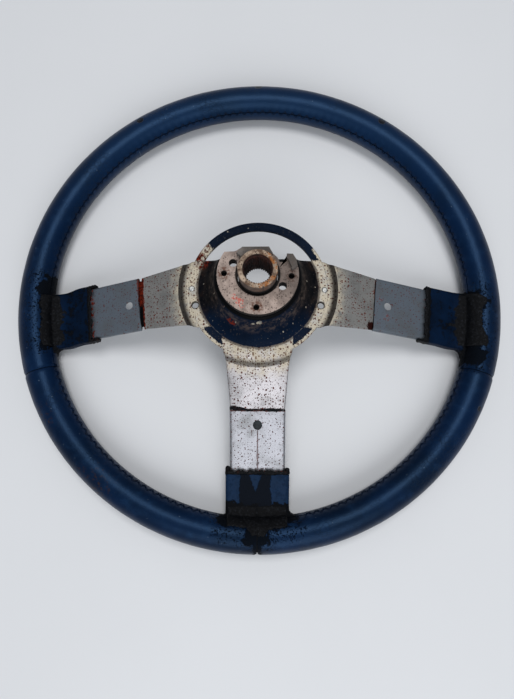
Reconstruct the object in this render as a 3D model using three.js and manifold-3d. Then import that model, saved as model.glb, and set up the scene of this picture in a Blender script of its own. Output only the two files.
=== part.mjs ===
import * as THREE from 'three';
import { mergeVertices } from 'three/addons/utils/BufferGeometryUtils.js';
import Module from 'manifold-3d';

// Three-spoke car steering wheel without its horn pad, in millimetres.
// The front of the rim rests on z = 0, the wheel axis is +Z and points at the steering column,
// and +Y points at the top of the wheel. Left and right are as seen from the column side.

// ---- driving dimensions ----
const WHEEL_DIAMETER = 381;
const GRIP_DIAMETER = 26.6;
const GAP = 0.3;

const GRIP_RADIUS = GRIP_DIAMETER / 2;
const RIM_RADIUS = WHEEL_DIAMETER / 2 - GRIP_RADIUS;
const RIM_Z = GRIP_RADIUS;
const RIM_STEPS = 60;
const LEATHER_THICKNESS = 1.2;
const FOAM_RADIUS = GRIP_RADIUS - LEATHER_THICKNESS - GAP;
const HOOP_RADIUS = 5;
const LACING_ANGLE = 22;
const LACING_GAP = 1.9;
const THREAD_RADIUS = 0.6;
const SEAM_ANGLES = [198.6, 270, 341.4];
const SEAM_GAP = 0.5;

// Each pad edge is its half width at the hub end, its half width at the rim and its corner fillet;
// the first edge is clockwise of the spoke and the second is anticlockwise.
const SPOKES = [
  {
    side: 'right',
    angle: -5.3,
    bladeStart: 87.4,
    padStart: 130.8,
    padEdges: [[21.7, 22.6, 6.5], [22.3, 22.4, 1.5]],
  },
  {
    side: 'left',
    angle: 185.3,
    bladeStart: 89.6,
    padStart: 131,
    padEdges: [[22.4, 20.6, 1.5], [22.4, 23.6, 5]],
  },
  {
    side: 'bottom',
    angle: 270,
    bladeStart: 87.4,
    padStart: 131.6,
    padEdges: [[23.5, 23.6, 1.5], [23.4, 23.4, 5]],
  },
];
const PRESSING_THICKNESS = 2.8;
const ARM_END = 86.5;
const ARM_HALF_WIDTHS = [
  [30, 27],
  [44.5, 25.2],
  [48.5, 23.2],
  [54, 22.3],
  [ARM_END, 19.7],
];
const TONGUE_START = 80;
const TONGUE_END = 118;
const TONGUE_HALF_WIDTH = 17.6;
const TONGUE_THICKNESS = 2.2;
const TONGUE_DROP = 0.8;

const BLADE_HALF_WIDTH = 20.1;
const BLADE_SHEET = 1.2;
const BLADE_HEIGHT = 5.7;
const BLADE_END = RIM_RADIUS - HOOP_RADIUS - 1.6;
const BLADE_TOP = [
  [80, 42.6],
  [152, 14.6],
  [157, 13.6],
  [176, 13.6],
];
const BLADE_HOLE_POSITION = 97.7;
const BLADE_HOLE_RADIUS = 2.9;
const BLADE_CLEARANCE_RADIUS = 5;
const PLUG_HOLE_RADIUS = 3;
const PLUG_HEAD_RADIUS = 3.5;
const FOLD_GAP = 0.4;

const PAD_BEND = 152.5;
const PAD_SLOPE = 0.38;
const PAD_RIM = 162.3;
const PAD_END = 172;
const PAD_LOW = 5.8;
const PAD_HIGH = 17;
const PAD_EDGE = 1.6;

const HUB_RING_RADIUS = 51;
const HUB_RING_INNER = 44.8;
const HUB_PROFILE = [
  [13.7, 76.7],
  [27.6, 76.7],
  [29.6, 75.7],
  [30.6, 73.6],
  [31.6, 69.5],
  [33.6, 63.5],
  [36.6, 57.8],
  [39.6, 54.0],
  [42.4, 51.9],
  [45.0, 51.3],
  [52.4, 51.3],
  [53.8, 50.7],
  [55.4, 51.4],
  [57.2, 52.2],
  [58.8, 51.8],
  [61.2, 50.4],
  [74.0, 45.4],
  [90.0, 38.7],
];
const HUB_STEPS = 48;
const WINDOW_EDGE_Y = 20.5;
const WINDOW_EDGE_Z = 52.5;
const WINDOW_LEAN = 17.5;
const RIVET_POSITION = 48.2;
const RIVET_ANGLES = { left: 180.4, right: -1.3 };
const RING_HOLE_POSITION = 47.1;
const RING_HOLE_RADIUS = 2.3;
const RING_HOLE_ANGLES = [195.6, -15.6];

const FLANGE_LOW = 77;
const FLANGE_HIGH = 82.8;
const FLANGE_RADIUS = 27.5;
const FLANGE_CORNERS = [
  [-22.6, 15.8],
  [-15.3, 16.2],
  [-14.3, 16.8],
  [-10.8, 19],
  [7.7, 19.2],
  [9.2, 15.6],
  [13, 12],
  [15, 8.6],
  [17.2, 8.6],
  [18.8, 11.6],
  [19.4, 13.2],
  [23.4, 13],
  [25.8, 9],
];
const BLOCK_CORNERS = [
  [-14.2, 13.2],
  [-10.4, 17.2],
  [7.4, 17.4],
  [10.2, 12.4],
  [9.4, 10.2],
  [0, 13.9],
  [-10, 9.8],
];
const BLOCK_HIGH = 88.4;
const LUG_CORNERS = [
  [19.3, 12.9],
  [23.3, 12.8],
  [25.6, 9],
  [26.3, 5],
  [25.1, 3.4],
  [22.9, 2],
  [20.9, 4.9],
  [19.5, 8.8],
];
const LUG_HIGH = 87.4;
const TAPPED_HOLE_RADIUS = 2.2;
const TAPPED_HOLE_POSITION = 22.6;
const TAPPED_HOLE_ANGLES = [177.8, 267.8, -2.2];
const BIG_HOLE_RADIUS = 2.8;
const BIG_HOLE_POSITION = 18.5;
const BIG_HOLE_ANGLES = [154.4, 334.4];

const BOSS_RADIUS = 13.2;
const BOSS_LOW = 67.3;
const BOSS_HIGH = 95.4;
const BORE_ENTRY_RADIUS = 9.85;
const BORE_ENTRY_DEPTH = 3;
const SPLINE_TEETH = 36;
const SPLINE_ROOT = 9.3;
const SPLINE_TIP = 8.75;
const GROOVE_RADIUS = 15.1;
const GROOVE_DEPTH = 2;

// ---- solid helpers ----
const wasm = await Module();
wasm.setup();

function solid(geometry) {
  const bare = new THREE.BufferGeometry();
  bare.setAttribute('position', geometry.getAttribute('position').clone());
  if (geometry.index) bare.setIndex(geometry.index.clone());
  const merged = mergeVertices(bare, 1e-4);
  const positions = merged.getAttribute('position');
  const index = merged.index.array;
  const triangles = [];
  let volume = 0;
  const a = new THREE.Vector3();
  const b = new THREE.Vector3();
  const c = new THREE.Vector3();
  for (let i = 0; i < index.length; i += 3) {
    const [p, q, r] = [index[i], index[i + 1], index[i + 2]];
    if (p === q || q === r || r === p) continue;
    triangles.push([p, q, r]);
    a.fromBufferAttribute(positions, p);
    b.fromBufferAttribute(positions, q);
    c.fromBufferAttribute(positions, r);
    volume += a.dot(b.cross(c));
  }
  const outward = volume > 0 ? triangles : triangles.map(([p, q, r]) => [p, r, q]);
  return new wasm.Manifold(new wasm.Mesh({
    numProp: 3,
    vertProperties: new Float32Array(positions.array),
    triVerts: new Uint32Array(outward.flat()),
  }));
}

function cut(base, tools) {
  return tools.reduce((left, tool) => left.subtract(tool), base);
}

function join(pieces) {
  return pieces.reduce((whole, piece) => whole.add(piece));
}

function extruded(points, low, high, holes = []) {
  const shape = new THREE.Shape(points.map(([x, y]) => new THREE.Vector2(x, y)));
  for (const hole of holes) shape.holes.push(new THREE.Path(hole.map(([x, y]) => new THREE.Vector2(x, y))));
  const geometry = new THREE.ExtrudeGeometry(shape, { depth: high - low, bevelEnabled: false });
  geometry.translate(0, 0, low);
  return solid(geometry);
}

function revolved(profile, steps) {
  const closed = [...profile, profile[0]].map(([r, z]) => new THREE.Vector2(r, z));
  const geometry = new THREE.LatheGeometry(closed, steps);
  geometry.rotateX(Math.PI / 2);
  return solid(geometry);
}

function polar(radius, degrees) {
  const turn = THREE.MathUtils.degToRad(degrees);
  return [radius * Math.cos(turn), radius * Math.sin(turn)];
}

function circle(radius, steps, centre = [0, 0]) {
  const points = [];
  for (let i = 0; i < steps; i += 1) {
    const [x, y] = polar(radius, (360 * i) / steps);
    points.push([centre[0] + x, centre[1] + y]);
  }
  return points;
}

function upright(radius, centre, low, high, steps = 20) {
  return extruded(circle(radius, steps, centre), low, high);
}

function box(x0, x1, y0, y1, z0, z1) {
  return extruded([[x0, y0], [x1, y0], [x1, y1], [x0, y1]], z0, z1);
}

function turned(piece, degrees) {
  return piece.rotate([0, 0, degrees]);
}

function heightAt(table, position) {
  for (let i = 1; i < table.length; i += 1) {
    const [u0, z0] = table[i - 1];
    const [u1, z1] = table[i];
    if (position <= u1) return z0 + ((z1 - z0) * (position - u0)) / (u1 - u0);
  }
  return table[table.length - 1][1];
}

// A flat bar that runs outward along +X and follows a table of top heights.
function bar(start, end, halfWidth, table, drop, thickness, corner) {
  const inside = table.map(([u]) => u).filter((u) => u > start + 0.5 && u < end - 0.5);
  const stations = [start, ...inside, end];
  const outline = [];
  for (const [w, t, first] of [[1, 1, 0], [-1, 1, 90], [-1, -1, 180], [1, -1, 270]]) {
    for (const step of [0, 45, 90]) {
      const [dw, dt] = polar(corner, first + step);
      outline.push([w * (halfWidth - corner) + dw, t * (thickness / 2 - corner) + dt]);
    }
  }
  const positions = [];
  const index = [];
  for (const u of stations) {
    const middle = heightAt(table, u) - drop - thickness / 2;
    for (const [w, t] of outline) positions.push(u, w, middle + t);
  }
  const count = outline.length;
  for (let s = 0; s + 1 < stations.length; s += 1) {
    for (let i = 0; i < count; i += 1) {
      const j = (i + 1) % count;
      const [p, q, r, t] = [s * count + i, s * count + j, (s + 1) * count + i, (s + 1) * count + j];
      index.push(p, r, q, q, r, t);
    }
  }
  const last = (stations.length - 1) * count;
  for (let i = 1; i + 1 < count; i += 1) {
    index.push(0, i, i + 1);
    index.push(last, last + i + 1, last + i);
  }
  const geometry = new THREE.BufferGeometry();
  geometry.setAttribute('position', new THREE.Float32BufferAttribute(positions, 3));
  geometry.setIndex(index);
  return solid(geometry);
}

function sector(from, to) {
  const points = [[0, 0]];
  const steps = Math.max(4, Math.ceil((to - from) / 15));
  for (let i = 0; i <= steps; i += 1) points.push(polar(260, from + ((to - from) * i) / steps));
  return extruded(points, -20, 60);
}

// ---- rim ----
function gripCircle(radius, steps, lowAngle = 0, highAngle = 360) {
  const points = [];
  const whole = highAngle - lowAngle === 360;
  for (let i = 0; i < steps + (whole ? 0 : 1); i += 1) {
    const [inward, up] = polar(radius, lowAngle + ((highAngle - lowAngle) * i) / steps);
    points.push([RIM_RADIUS - inward, RIM_Z + up]);
  }
  return points;
}

function leatherRing() {
  const halfGap = THREE.MathUtils.radToDeg(LACING_GAP / 2 / GRIP_RADIUS);
  const from = LACING_ANGLE + halfGap;
  const to = LACING_ANGLE + 360 - halfGap;
  const outside = gripCircle(GRIP_RADIUS, 16, from, to);
  const inside = gripCircle(GRIP_RADIUS - LEATHER_THICKNESS, 14, from, to).reverse();
  return revolved([...outside, ...inside], RIM_STEPS);
}

function foamRing() {
  const shell = revolved(gripCircle(FOAM_RADIUS - 0.1, 12), RIM_STEPS);
  return shell.subtract(revolved(gripCircle(HOOP_RADIUS + GAP, 8), RIM_STEPS));
}

function threadRing() {
  const [inward, up] = polar(GRIP_RADIUS - THREAD_RADIUS, LACING_ANGLE);
  const centre = [RIM_RADIUS - inward, RIM_Z + up];
  return revolved(circle(THREAD_RADIUS, 6, centre), RIM_STEPS);
}

const passages = SPOKES.map(({ angle }) => {
  const halfWidth = BLADE_HALF_WIDTH + 0.8;
  return turned(box(150, RIM_RADIUS, -halfWidth, halfWidth, 7.2, RIM_Z + 3.4), angle);
});
const leather = cut(leatherRing(), passages);
const halfSeam = THREE.MathUtils.radToDeg(SEAM_GAP / 2 / RIM_RADIUS);
const threadReach = 12.2;

// ---- spokes ----
// The hole through both sheets of a blade; at the sides the lower sheet is opened wider.
function bladeHole(side) {
  if (side === 'bottom') return upright(PLUG_HOLE_RADIUS, [BLADE_HOLE_POSITION, 0], 10, 60);
  const under = heightAt(BLADE_TOP, BLADE_HOLE_POSITION + BLADE_CLEARANCE_RADIUS) - BLADE_SHEET;
  return join([
    upright(BLADE_HOLE_RADIUS, [BLADE_HOLE_POSITION, 0], 10, 60),
    upright(BLADE_CLEARANCE_RADIUS, [BLADE_HOLE_POSITION, 0], 10, under),
  ]);
}

function bladeSolid({ side, bladeStart }) {
  const outer = bar(bladeStart, BLADE_END, BLADE_HALF_WIDTH, BLADE_TOP, 0, BLADE_HEIGHT, 1.8);
  const inner = bar(
    80, 176, BLADE_HALF_WIDTH - BLADE_SHEET, BLADE_TOP, BLADE_SHEET, BLADE_HEIGHT - 2 * BLADE_SHEET, 0.8,
  );
  const tools = [inner, bladeHole(side)];
  if (side === 'bottom') {
    const ahead = bar(
      BLADE_HOLE_POSITION, 176, FOLD_GAP / 2, BLADE_TOP, -0.5, BLADE_SHEET + 1, 0.05,
    );
    tools.push(ahead);
  }
  return cut(outer, tools);
}

function padEdge(padStart, [inner, outer, fillet]) {
  const points = [[padStart, inner - PAD_EDGE], [PAD_BEND, outer - PAD_EDGE]];
  for (let step = 0; step <= 6; step += 1) {
    const [across, along] = polar(fillet + PAD_EDGE, 15 * step);
    points.push([PAD_RIM - fillet + along, outer + fillet - across]);
  }
  points.push([PAD_END, outer + fillet]);
  return points;
}

// A flat pad with rounded edges; the part on the hub's side of the bend is then sheared upwards.
function padSolid({ padStart, padEdges }) {
  const [clockwise, anticlockwise] = padEdges.map((edge) => padEdge(padStart, edge));
  const outline = [...clockwise.map(([u, w]) => [u, -w]), ...anticlockwise.reverse()];
  const shape = new THREE.Shape(outline.map(([u, w]) => new THREE.Vector2(u, w)));
  const geometry = new THREE.ExtrudeGeometry(shape, {
    depth: PAD_HIGH - PAD_LOW - 2 * PAD_EDGE,
    bevelThickness: PAD_EDGE,
    bevelSize: PAD_EDGE,
    bevelSegments: 3,
  });
  geometry.translate(0, 0, PAD_LOW + PAD_EDGE);
  const [outer, inner] = solid(geometry).splitByPlane([1, 0, 0], PAD_BEND);
  const rise = new THREE.Matrix4().makeShear(0, -PAD_SLOPE, 0, 0, 0, 0);
  rise.setPosition(0, 0, PAD_SLOPE * PAD_BEND);
  const grip = revolved(gripCircle(GRIP_RADIUS + GAP, 24), RIM_STEPS * 2);
  const slot = bar(
    120, 176, BLADE_HALF_WIDTH + GAP, BLADE_TOP, -GAP - 0.1, BLADE_HEIGHT + 2 * GAP + 0.2, 1.8,
  );
  return { shape: join([outer, inner.transform(rise.elements)]), grip, slot };
}

// ---- hub ----
function offsetProfile(profile, thickness) {
  return profile.map(([r, z], i) => {
    const before = profile[Math.max(i - 1, 0)];
    const after = profile[Math.min(i + 1, profile.length - 1)];
    const along = new THREE.Vector2(after[0] - before[0], after[1] - before[1]).normalize();
    return [r + along.y * thickness, z - along.x * thickness];
  });
}

function armPlan(angle) {
  const right = ARM_HALF_WIDTHS.map(([u, w]) => [u, w]);
  const left = ARM_HALF_WIDTHS.map(([u, w]) => [u, -w]).reverse();
  return turned(extruded([...right, ...left], 20, 100), angle);
}

function tongue(angle) {
  const table = [
    [TONGUE_START, heightAt(HUB_PROFILE, TONGUE_START)],
    [ARM_END, heightAt(HUB_PROFILE, ARM_END) - 0.9],
    [91, heightAt(BLADE_TOP, 91) - 0.9],
    [TONGUE_END, heightAt(BLADE_TOP, TONGUE_END) - 0.9],
  ];
  const strip = bar(
    TONGUE_START, TONGUE_END, TONGUE_HALF_WIDTH, table, TONGUE_DROP, TONGUE_THICKNESS, 0.4,
  );
  return turned(strip, angle);
}

const tappedHoles = TAPPED_HOLE_ANGLES.map((angle) => polar(TAPPED_HOLE_POSITION, angle));
const bigHoles = BIG_HOLE_ANGLES.map((angle) => polar(BIG_HOLE_POSITION, angle));

function spiderSolid() {
  const pressing = revolved(
    [...HUB_PROFILE, ...offsetProfile(HUB_PROFILE, PRESSING_THICKNESS).reverse()], HUB_STEPS,
  );
  const disc = upright(HUB_RING_RADIUS, [0, 0], 20, 100, HUB_STEPS);
  const plan = join([disc, ...SPOKES.map(({ angle }) => armPlan(angle))]);
  const lean = new THREE.BoxGeometry(140, 80, 200);
  lean.translate(0, 40, 0);
  lean.rotateX(THREE.MathUtils.degToRad(WINDOW_LEAN));
  lean.translate(0, WINDOW_EDGE_Y, WINDOW_EDGE_Z);
  const window = solid(lean).intersect(upright(HUB_RING_INNER, [0, 0], 20, 100, HUB_STEPS));
  const whole = join([pressing.intersect(plan), ...SPOKES.map(({ angle }) => tongue(angle))]);
  const holes = [window];
  for (const centre of bigHoles) holes.push(upright(BIG_HOLE_RADIUS, centre, 70, 80));
  for (const angle of RING_HOLE_ANGLES) {
    holes.push(upright(RING_HOLE_RADIUS, polar(RING_HOLE_POSITION, angle), 40, 60));
  }
  for (const angle of Object.values(RIVET_ANGLES)) {
    holes.push(upright(1.5, polar(RIVET_POSITION, angle), 40, 60, 12));
  }
  for (const { side, angle } of SPOKES) {
    const radius = side === 'bottom' ? PLUG_HOLE_RADIUS : BLADE_CLEARANCE_RADIUS;
    holes.push(upright(radius, polar(BLADE_HOLE_POSITION, angle), 10, 60));
  }
  return cut(whole, holes);
}

function flangeSolid() {
  const points = [...FLANGE_CORNERS].reverse();
  for (let angle = 145; angle <= 375; angle += 6) {
    if (angle > 149 && angle < 372) points.push(polar(FLANGE_RADIUS, angle));
  }
  const holes = [circle(BOSS_RADIUS + GAP, 40)];
  for (const centre of tappedHoles) holes.push(circle(TAPPED_HOLE_RADIUS, 14, centre));
  for (const centre of bigHoles) holes.push(circle(BIG_HOLE_RADIUS, 20, centre));
  const plate = extruded(points, FLANGE_LOW, FLANGE_HIGH, holes);
  const block = extruded(BLOCK_CORNERS, FLANGE_LOW + 1, BLOCK_HIGH);
  const lug = extruded(LUG_CORNERS, FLANGE_LOW + 1, LUG_HIGH);
  const bore = upright(BOSS_RADIUS + GAP, [0, 0], 60, 100, 40);
  const groove = upright(GROOVE_RADIUS, [0, 0], FLANGE_HIGH - GROOVE_DEPTH, 100, 40);
  return cut(join([plate, block, lug]), [bore, groove, ...tappedHoles.map(
    (centre) => upright(TAPPED_HOLE_RADIUS, centre, 70, 100, 14),
  )]);
}

function bossSolid() {
  const sleeve = revolved([
    [5, BOSS_LOW],
    [BOSS_RADIUS - 1, BOSS_LOW],
    [BOSS_RADIUS, BOSS_LOW + 1],
    [BOSS_RADIUS, BOSS_HIGH - 0.8],
    [BOSS_RADIUS - 0.8, BOSS_HIGH],
    [5, BOSS_HIGH],
  ], 40);
  const teeth = [];
  for (let i = 0; i < SPLINE_TEETH; i += 1) {
    const pitch = 360 / SPLINE_TEETH;
    teeth.push(polar(SPLINE_ROOT, i * pitch));
    teeth.push(polar(SPLINE_TIP, (i + 0.5) * pitch));
  }
  const spline = extruded(teeth, BOSS_LOW - 5, BOSS_HIGH + 5);
  const entry = upright(BORE_ENTRY_RADIUS, [0, 0], BOSS_HIGH - BORE_ENTRY_DEPTH, BOSS_HIGH + 5, 40);
  return cut(sleeve, [spline, entry]);
}

function rivetSolid(angle) {
  const top = heightAt(HUB_PROFILE, RIVET_POSITION);
  const under = top - PRESSING_THICKNESS;
  const profile = [
    [0, under - 0.9],
    [1.7, under - 0.9],
    [2.1, under - 0.1],
    [1.2, under - 0.1],
    [1.2, top + 0.1],
    [2.1, top + 0.1],
    [1.7, top + 0.6],
    [0, top + 0.8],
  ];
  const [x, y] = polar(RIVET_POSITION, angle);
  return revolved(profile, 16).translate([x, y, 0]);
}

function plugSolid() {
  const top = heightAt(BLADE_TOP, BLADE_HOLE_POSITION - PLUG_HEAD_RADIUS) + 0.15;
  const stem = upright(PLUG_HOLE_RADIUS - GAP, [BLADE_HOLE_POSITION, 0], top - 9, top + 0.4, 20);
  const head = upright(PLUG_HEAD_RADIUS, [BLADE_HOLE_POSITION, 0], 0, 60, 20);
  const cap = bar(90, 106, 6, BLADE_TOP, -1, 0.9, 0.05);
  return turned(join([stem, head.intersect(cap)]), 270);
}

// ---- assembly ----
const group = new THREE.Group();
group.name = 'steering_wheel';

const finishes = {
  leather: { color: 0x0f2038, roughness: 0.55, metalness: 0 },
  thread: { color: 0x0a0f18, roughness: 0.8, metalness: 0 },
  foam: { color: 0x1c1c1e, roughness: 0.9, metalness: 0 },
  steel: { color: 0x8a8f92, roughness: 0.5, metalness: 0.8 },
  plate: { color: 0x9aa3a6, roughness: 0.45, metalness: 0.6 },
  paint: { color: 0x1a2740, roughness: 0.5, metalness: 0.2 },
  casting: { color: 0x8d8279, roughness: 0.7, metalness: 0.4 },
  rust: { color: 0x9a7448, roughness: 0.8, metalness: 0.3 },
  plug: { color: 0x1b1f20, roughness: 0.7, metalness: 0 },
};

function place(name, manifold, finish) {
  const { vertProperties, triVerts } = manifold.getMesh();
  const geometry = new THREE.BufferGeometry();
  geometry.setAttribute('position', new THREE.BufferAttribute(new Float32Array(vertProperties), 3));
  geometry.setIndex(new THREE.BufferAttribute(new Uint32Array(triVerts), 1));
  const material = new THREE.MeshStandardMaterial({ ...finishes[finish], flatShading: true });
  const mesh = new THREE.Mesh(geometry, material);
  mesh.name = name;
  group.add(mesh);
}

place('rim_hoop', revolved(gripCircle(HOOP_RADIUS, 8), RIM_STEPS), 'steel');
place('rim_foam', cut(foamRing(), passages), 'foam');

const leatherArcs = [
  ['upper', SEAM_ANGLES[2] - 360, SEAM_ANGLES[0]],
  ['lower_left', SEAM_ANGLES[0], SEAM_ANGLES[1]],
  ['lower_right', SEAM_ANGLES[1], SEAM_ANGLES[2]],
];
for (const [name, from, to] of leatherArcs) {
  place(`rim_leather_${name}`, leather.intersect(sector(from + halfSeam, to - halfSeam)), 'leather');
}

const thread = threadRing();
const threadArcs = [
  ['upper', SPOKES[0].angle + threadReach, SPOKES[1].angle - threadReach],
  ['lower_left', SPOKES[1].angle + threadReach, 270 - threadReach],
  ['lower_right', 270 + threadReach, SPOKES[0].angle + 360 - threadReach],
];
for (const [name, from, to] of threadArcs) {
  place(`seam_thread_${name}`, thread.intersect(sector(from, to)), 'thread');
}

for (const spoke of SPOKES) {
  const { shape, grip, slot } = padSolid(spoke);
  const pad = cut(turned(cut(shape, [slot]), spoke.angle), [grip]);
  place(`spoke_blade_${spoke.side}`, turned(bladeSolid(spoke), spoke.angle), 'plate');
  place(`spoke_pad_${spoke.side}`, pad, 'leather');
}

place('hub_spider', spiderSolid(), 'paint');
place('hub_flange', flangeSolid(), 'casting');
place('hub_boss', bossSolid(), 'rust');
for (const [side, angle] of Object.entries(RIVET_ANGLES)) {
  place(`ring_rivet_${side}`, rivetSolid(angle), 'steel');
}
place('spoke_plug_bottom', plugSolid(), 'plug');

export default group;
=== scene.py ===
"""Looks for the three-spoke steering wheel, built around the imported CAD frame."""
import math
import bpy
import bmesh
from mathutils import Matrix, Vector, noise


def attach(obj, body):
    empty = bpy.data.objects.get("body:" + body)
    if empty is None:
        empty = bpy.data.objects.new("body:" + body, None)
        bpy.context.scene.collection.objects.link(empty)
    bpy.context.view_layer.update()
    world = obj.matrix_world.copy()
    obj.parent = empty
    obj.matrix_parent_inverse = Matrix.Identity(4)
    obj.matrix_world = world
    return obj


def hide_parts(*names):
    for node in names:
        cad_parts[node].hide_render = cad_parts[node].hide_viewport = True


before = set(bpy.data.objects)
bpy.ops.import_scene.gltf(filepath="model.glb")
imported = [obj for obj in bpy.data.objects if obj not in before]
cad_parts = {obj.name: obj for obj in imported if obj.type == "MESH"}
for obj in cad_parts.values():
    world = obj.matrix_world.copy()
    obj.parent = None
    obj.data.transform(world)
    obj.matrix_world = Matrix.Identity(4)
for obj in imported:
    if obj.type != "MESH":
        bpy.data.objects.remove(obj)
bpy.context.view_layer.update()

MM = 0.001

# ---- sizes in millimetres and angles in degrees, in the same frame as the CAD ----
GRIP_RADIUS = 13.3
RIM_RADIUS = 177.2
RIM_Z = GRIP_RADIUS
LEATHER_THICKNESS = 1.2
LEATHER_ROW = 0.55  # angle between rows of points
LEATHER_STEPS = 52
LEATHER_INNER_STEPS = 12
STITCH_PITCH = 6.2
STITCH_ANGLE = math.degrees(STITCH_PITCH / (RIM_RADIUS - GRIP_RADIUS))
STITCH_REACH = 10.5  # angle round the grip, to each side of the lacing
THREAD_RADIUS = 0.36
LACING_HALF = 2.0
LACING_REACH = 12.0
SEAM_HALF = 0.09
LACING_ANGLE = 22
SEAM_ANGLES = (198.6, 270.0, 341.4)
SPOKES = {"right": -5.3, "left": 185.3, "bottom": 270.0}
PAD_STARTS = {"right": 130.8, "left": 131.0, "bottom": 131.6}
PAD_EDGES = {
    "right": ((21.7, 22.6, 6.5), (22.3, 22.4, 1.5)), "left": ((22.4, 20.6, 1.5), (22.4, 23.6, 5.0)),
    "bottom": ((23.5, 23.6, 1.5), (23.4, 23.4, 5.0)),
}
PAD_BEND = 152.5  # the pad lies level beyond this distance, and slopes up within it
PAD_SLOPE = 0.38
PAD_RIM = 162.3
PAD_LOW = 5.8
PAD_HIGH = 17.0
BLADE_HALF_WIDTH = 20.1
BLADE_HEIGHT = 5.7
BLADE_SHEET = 1.2
BLADE_STARTS = {"left": 89.4, "right": 87.1, "bottom": 87.6}
BLADE_TEARS = {"left": 0.9, "right": 0.15, "bottom": 0.8}
BLADE_END = 162.0
BLADE_SLIT = 0.2
BLADE_TEAR_ROWS = 4
BLADE_TOP = ((80, 42.6), (152, 14.6), (157, 13.6), (176, 13.6))
BLADE_HOLE = 97.7
BLADE_HOLE_RADIUS = 2.9
BLADE_CLEARANCE = 5.0
PLUG_HOLE_RADIUS = 3.0
HUB_PROFILE = (
    (13.7, 76.7), (27.6, 76.7), (29.6, 75.7), (30.6, 73.6), (31.6, 69.5), (33.6, 63.5),
    (36.6, 57.8), (39.6, 54.0), (42.4, 51.9), (45.0, 51.3), (52.4, 51.3), (53.8, 50.7),
    (55.4, 51.4), (57.2, 52.2), (58.8, 51.8), (61.2, 50.4), (74.0, 45.4), (90.0, 38.7),
)
PRESSING = 2.8
ARM_START = 44.6
ARM_END = 86.5
TONGUE_HALF_WIDTH = 17.6
TONGUE_HALF = 1.1
RING_INNER = 44.8
WINDOW_EDGE = (20.5, 52.5)
WINDOW_LEAN = 17.5
FLANGE_LOW = 77.0
FLANGE_HIGH = 82.8
FLANGE_RADIUS = 27.5
BLOCK_HIGH = 88.4
LUG_HIGH = 87.4
FLANGE_BORE = 13.5
FLANGE_RECESS = 15.1
BOSS_RADIUS = 13.2
BOSS_LOW = 67.3
BOSS_HIGH = 95.4
SPLINE_RADIUS = 8.8
SPLINE_DEPTH = 0.6
SPLINE_PITCH = 10
TAPPED_CIRCLE = 22.6
TAPPED_ANGLES = (177.8, 267.8, -2.2)
BIG_HOLE_CIRCLE = 18.5
BIG_HOLE_RADIUS = 2.8
BIG_HOLE_ANGLES = (154.4, 334.4)
RIVET_CIRCLE = 48.2
RIVETS = {"left": 180.4, "right": -1.3}
RING_HOLE_CIRCLE = 47.1
RING_HOLES = (195.6, -15.6)

# ---- the view ----
CAMERA_PLACE = (3.3, -113.9, 417.7)
CAMERA_TURN = (10.63, 0.54, 0.32)
CAMERA_LENS = 27.04
CAMERA_SENSOR = 36
FLOOR_HALF = 3.0  # metres
FLOOR_HEIGHT = -0.0004  # metres


def polar(radius, degrees):
    turn = math.radians(degrees)
    return radius * math.cos(turn), radius * math.sin(turn)


def smooth_step(low, high, value):
    t = min(1.0, max(0.0, (value - low) / (high - low)))
    return t * t * (3 - 2 * t)


def height_at(table, position):
    for (u0, z0), (u1, z1) in zip(table, table[1:]):
        if position <= u1:
            return z0 + (z1 - z0) * (position - u0) / (u1 - u0)
    return table[-1][1]


def softened(table, position, reach):
    """The table's height, averaged over a short reach so that its corners become bends."""
    steps = 6
    total = sum(height_at(table, position + reach * (2 * i / steps - 1)) for i in range(steps + 1))
    return total / (steps + 1)


def wobble(x, y, z=0.0):
    return noise.noise(Vector((x, y, z)))


# ---- material builder ----
def tone(red, green, blue):
    """A display colour from 0 to 255 as linear light."""
    def linear(value):
        value /= 255
        return value / 12.92 if value <= 0.04045 else ((value + 0.055) / 1.055) ** 2.4
    return linear(red), linear(green), linear(blue), 1.0


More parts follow.
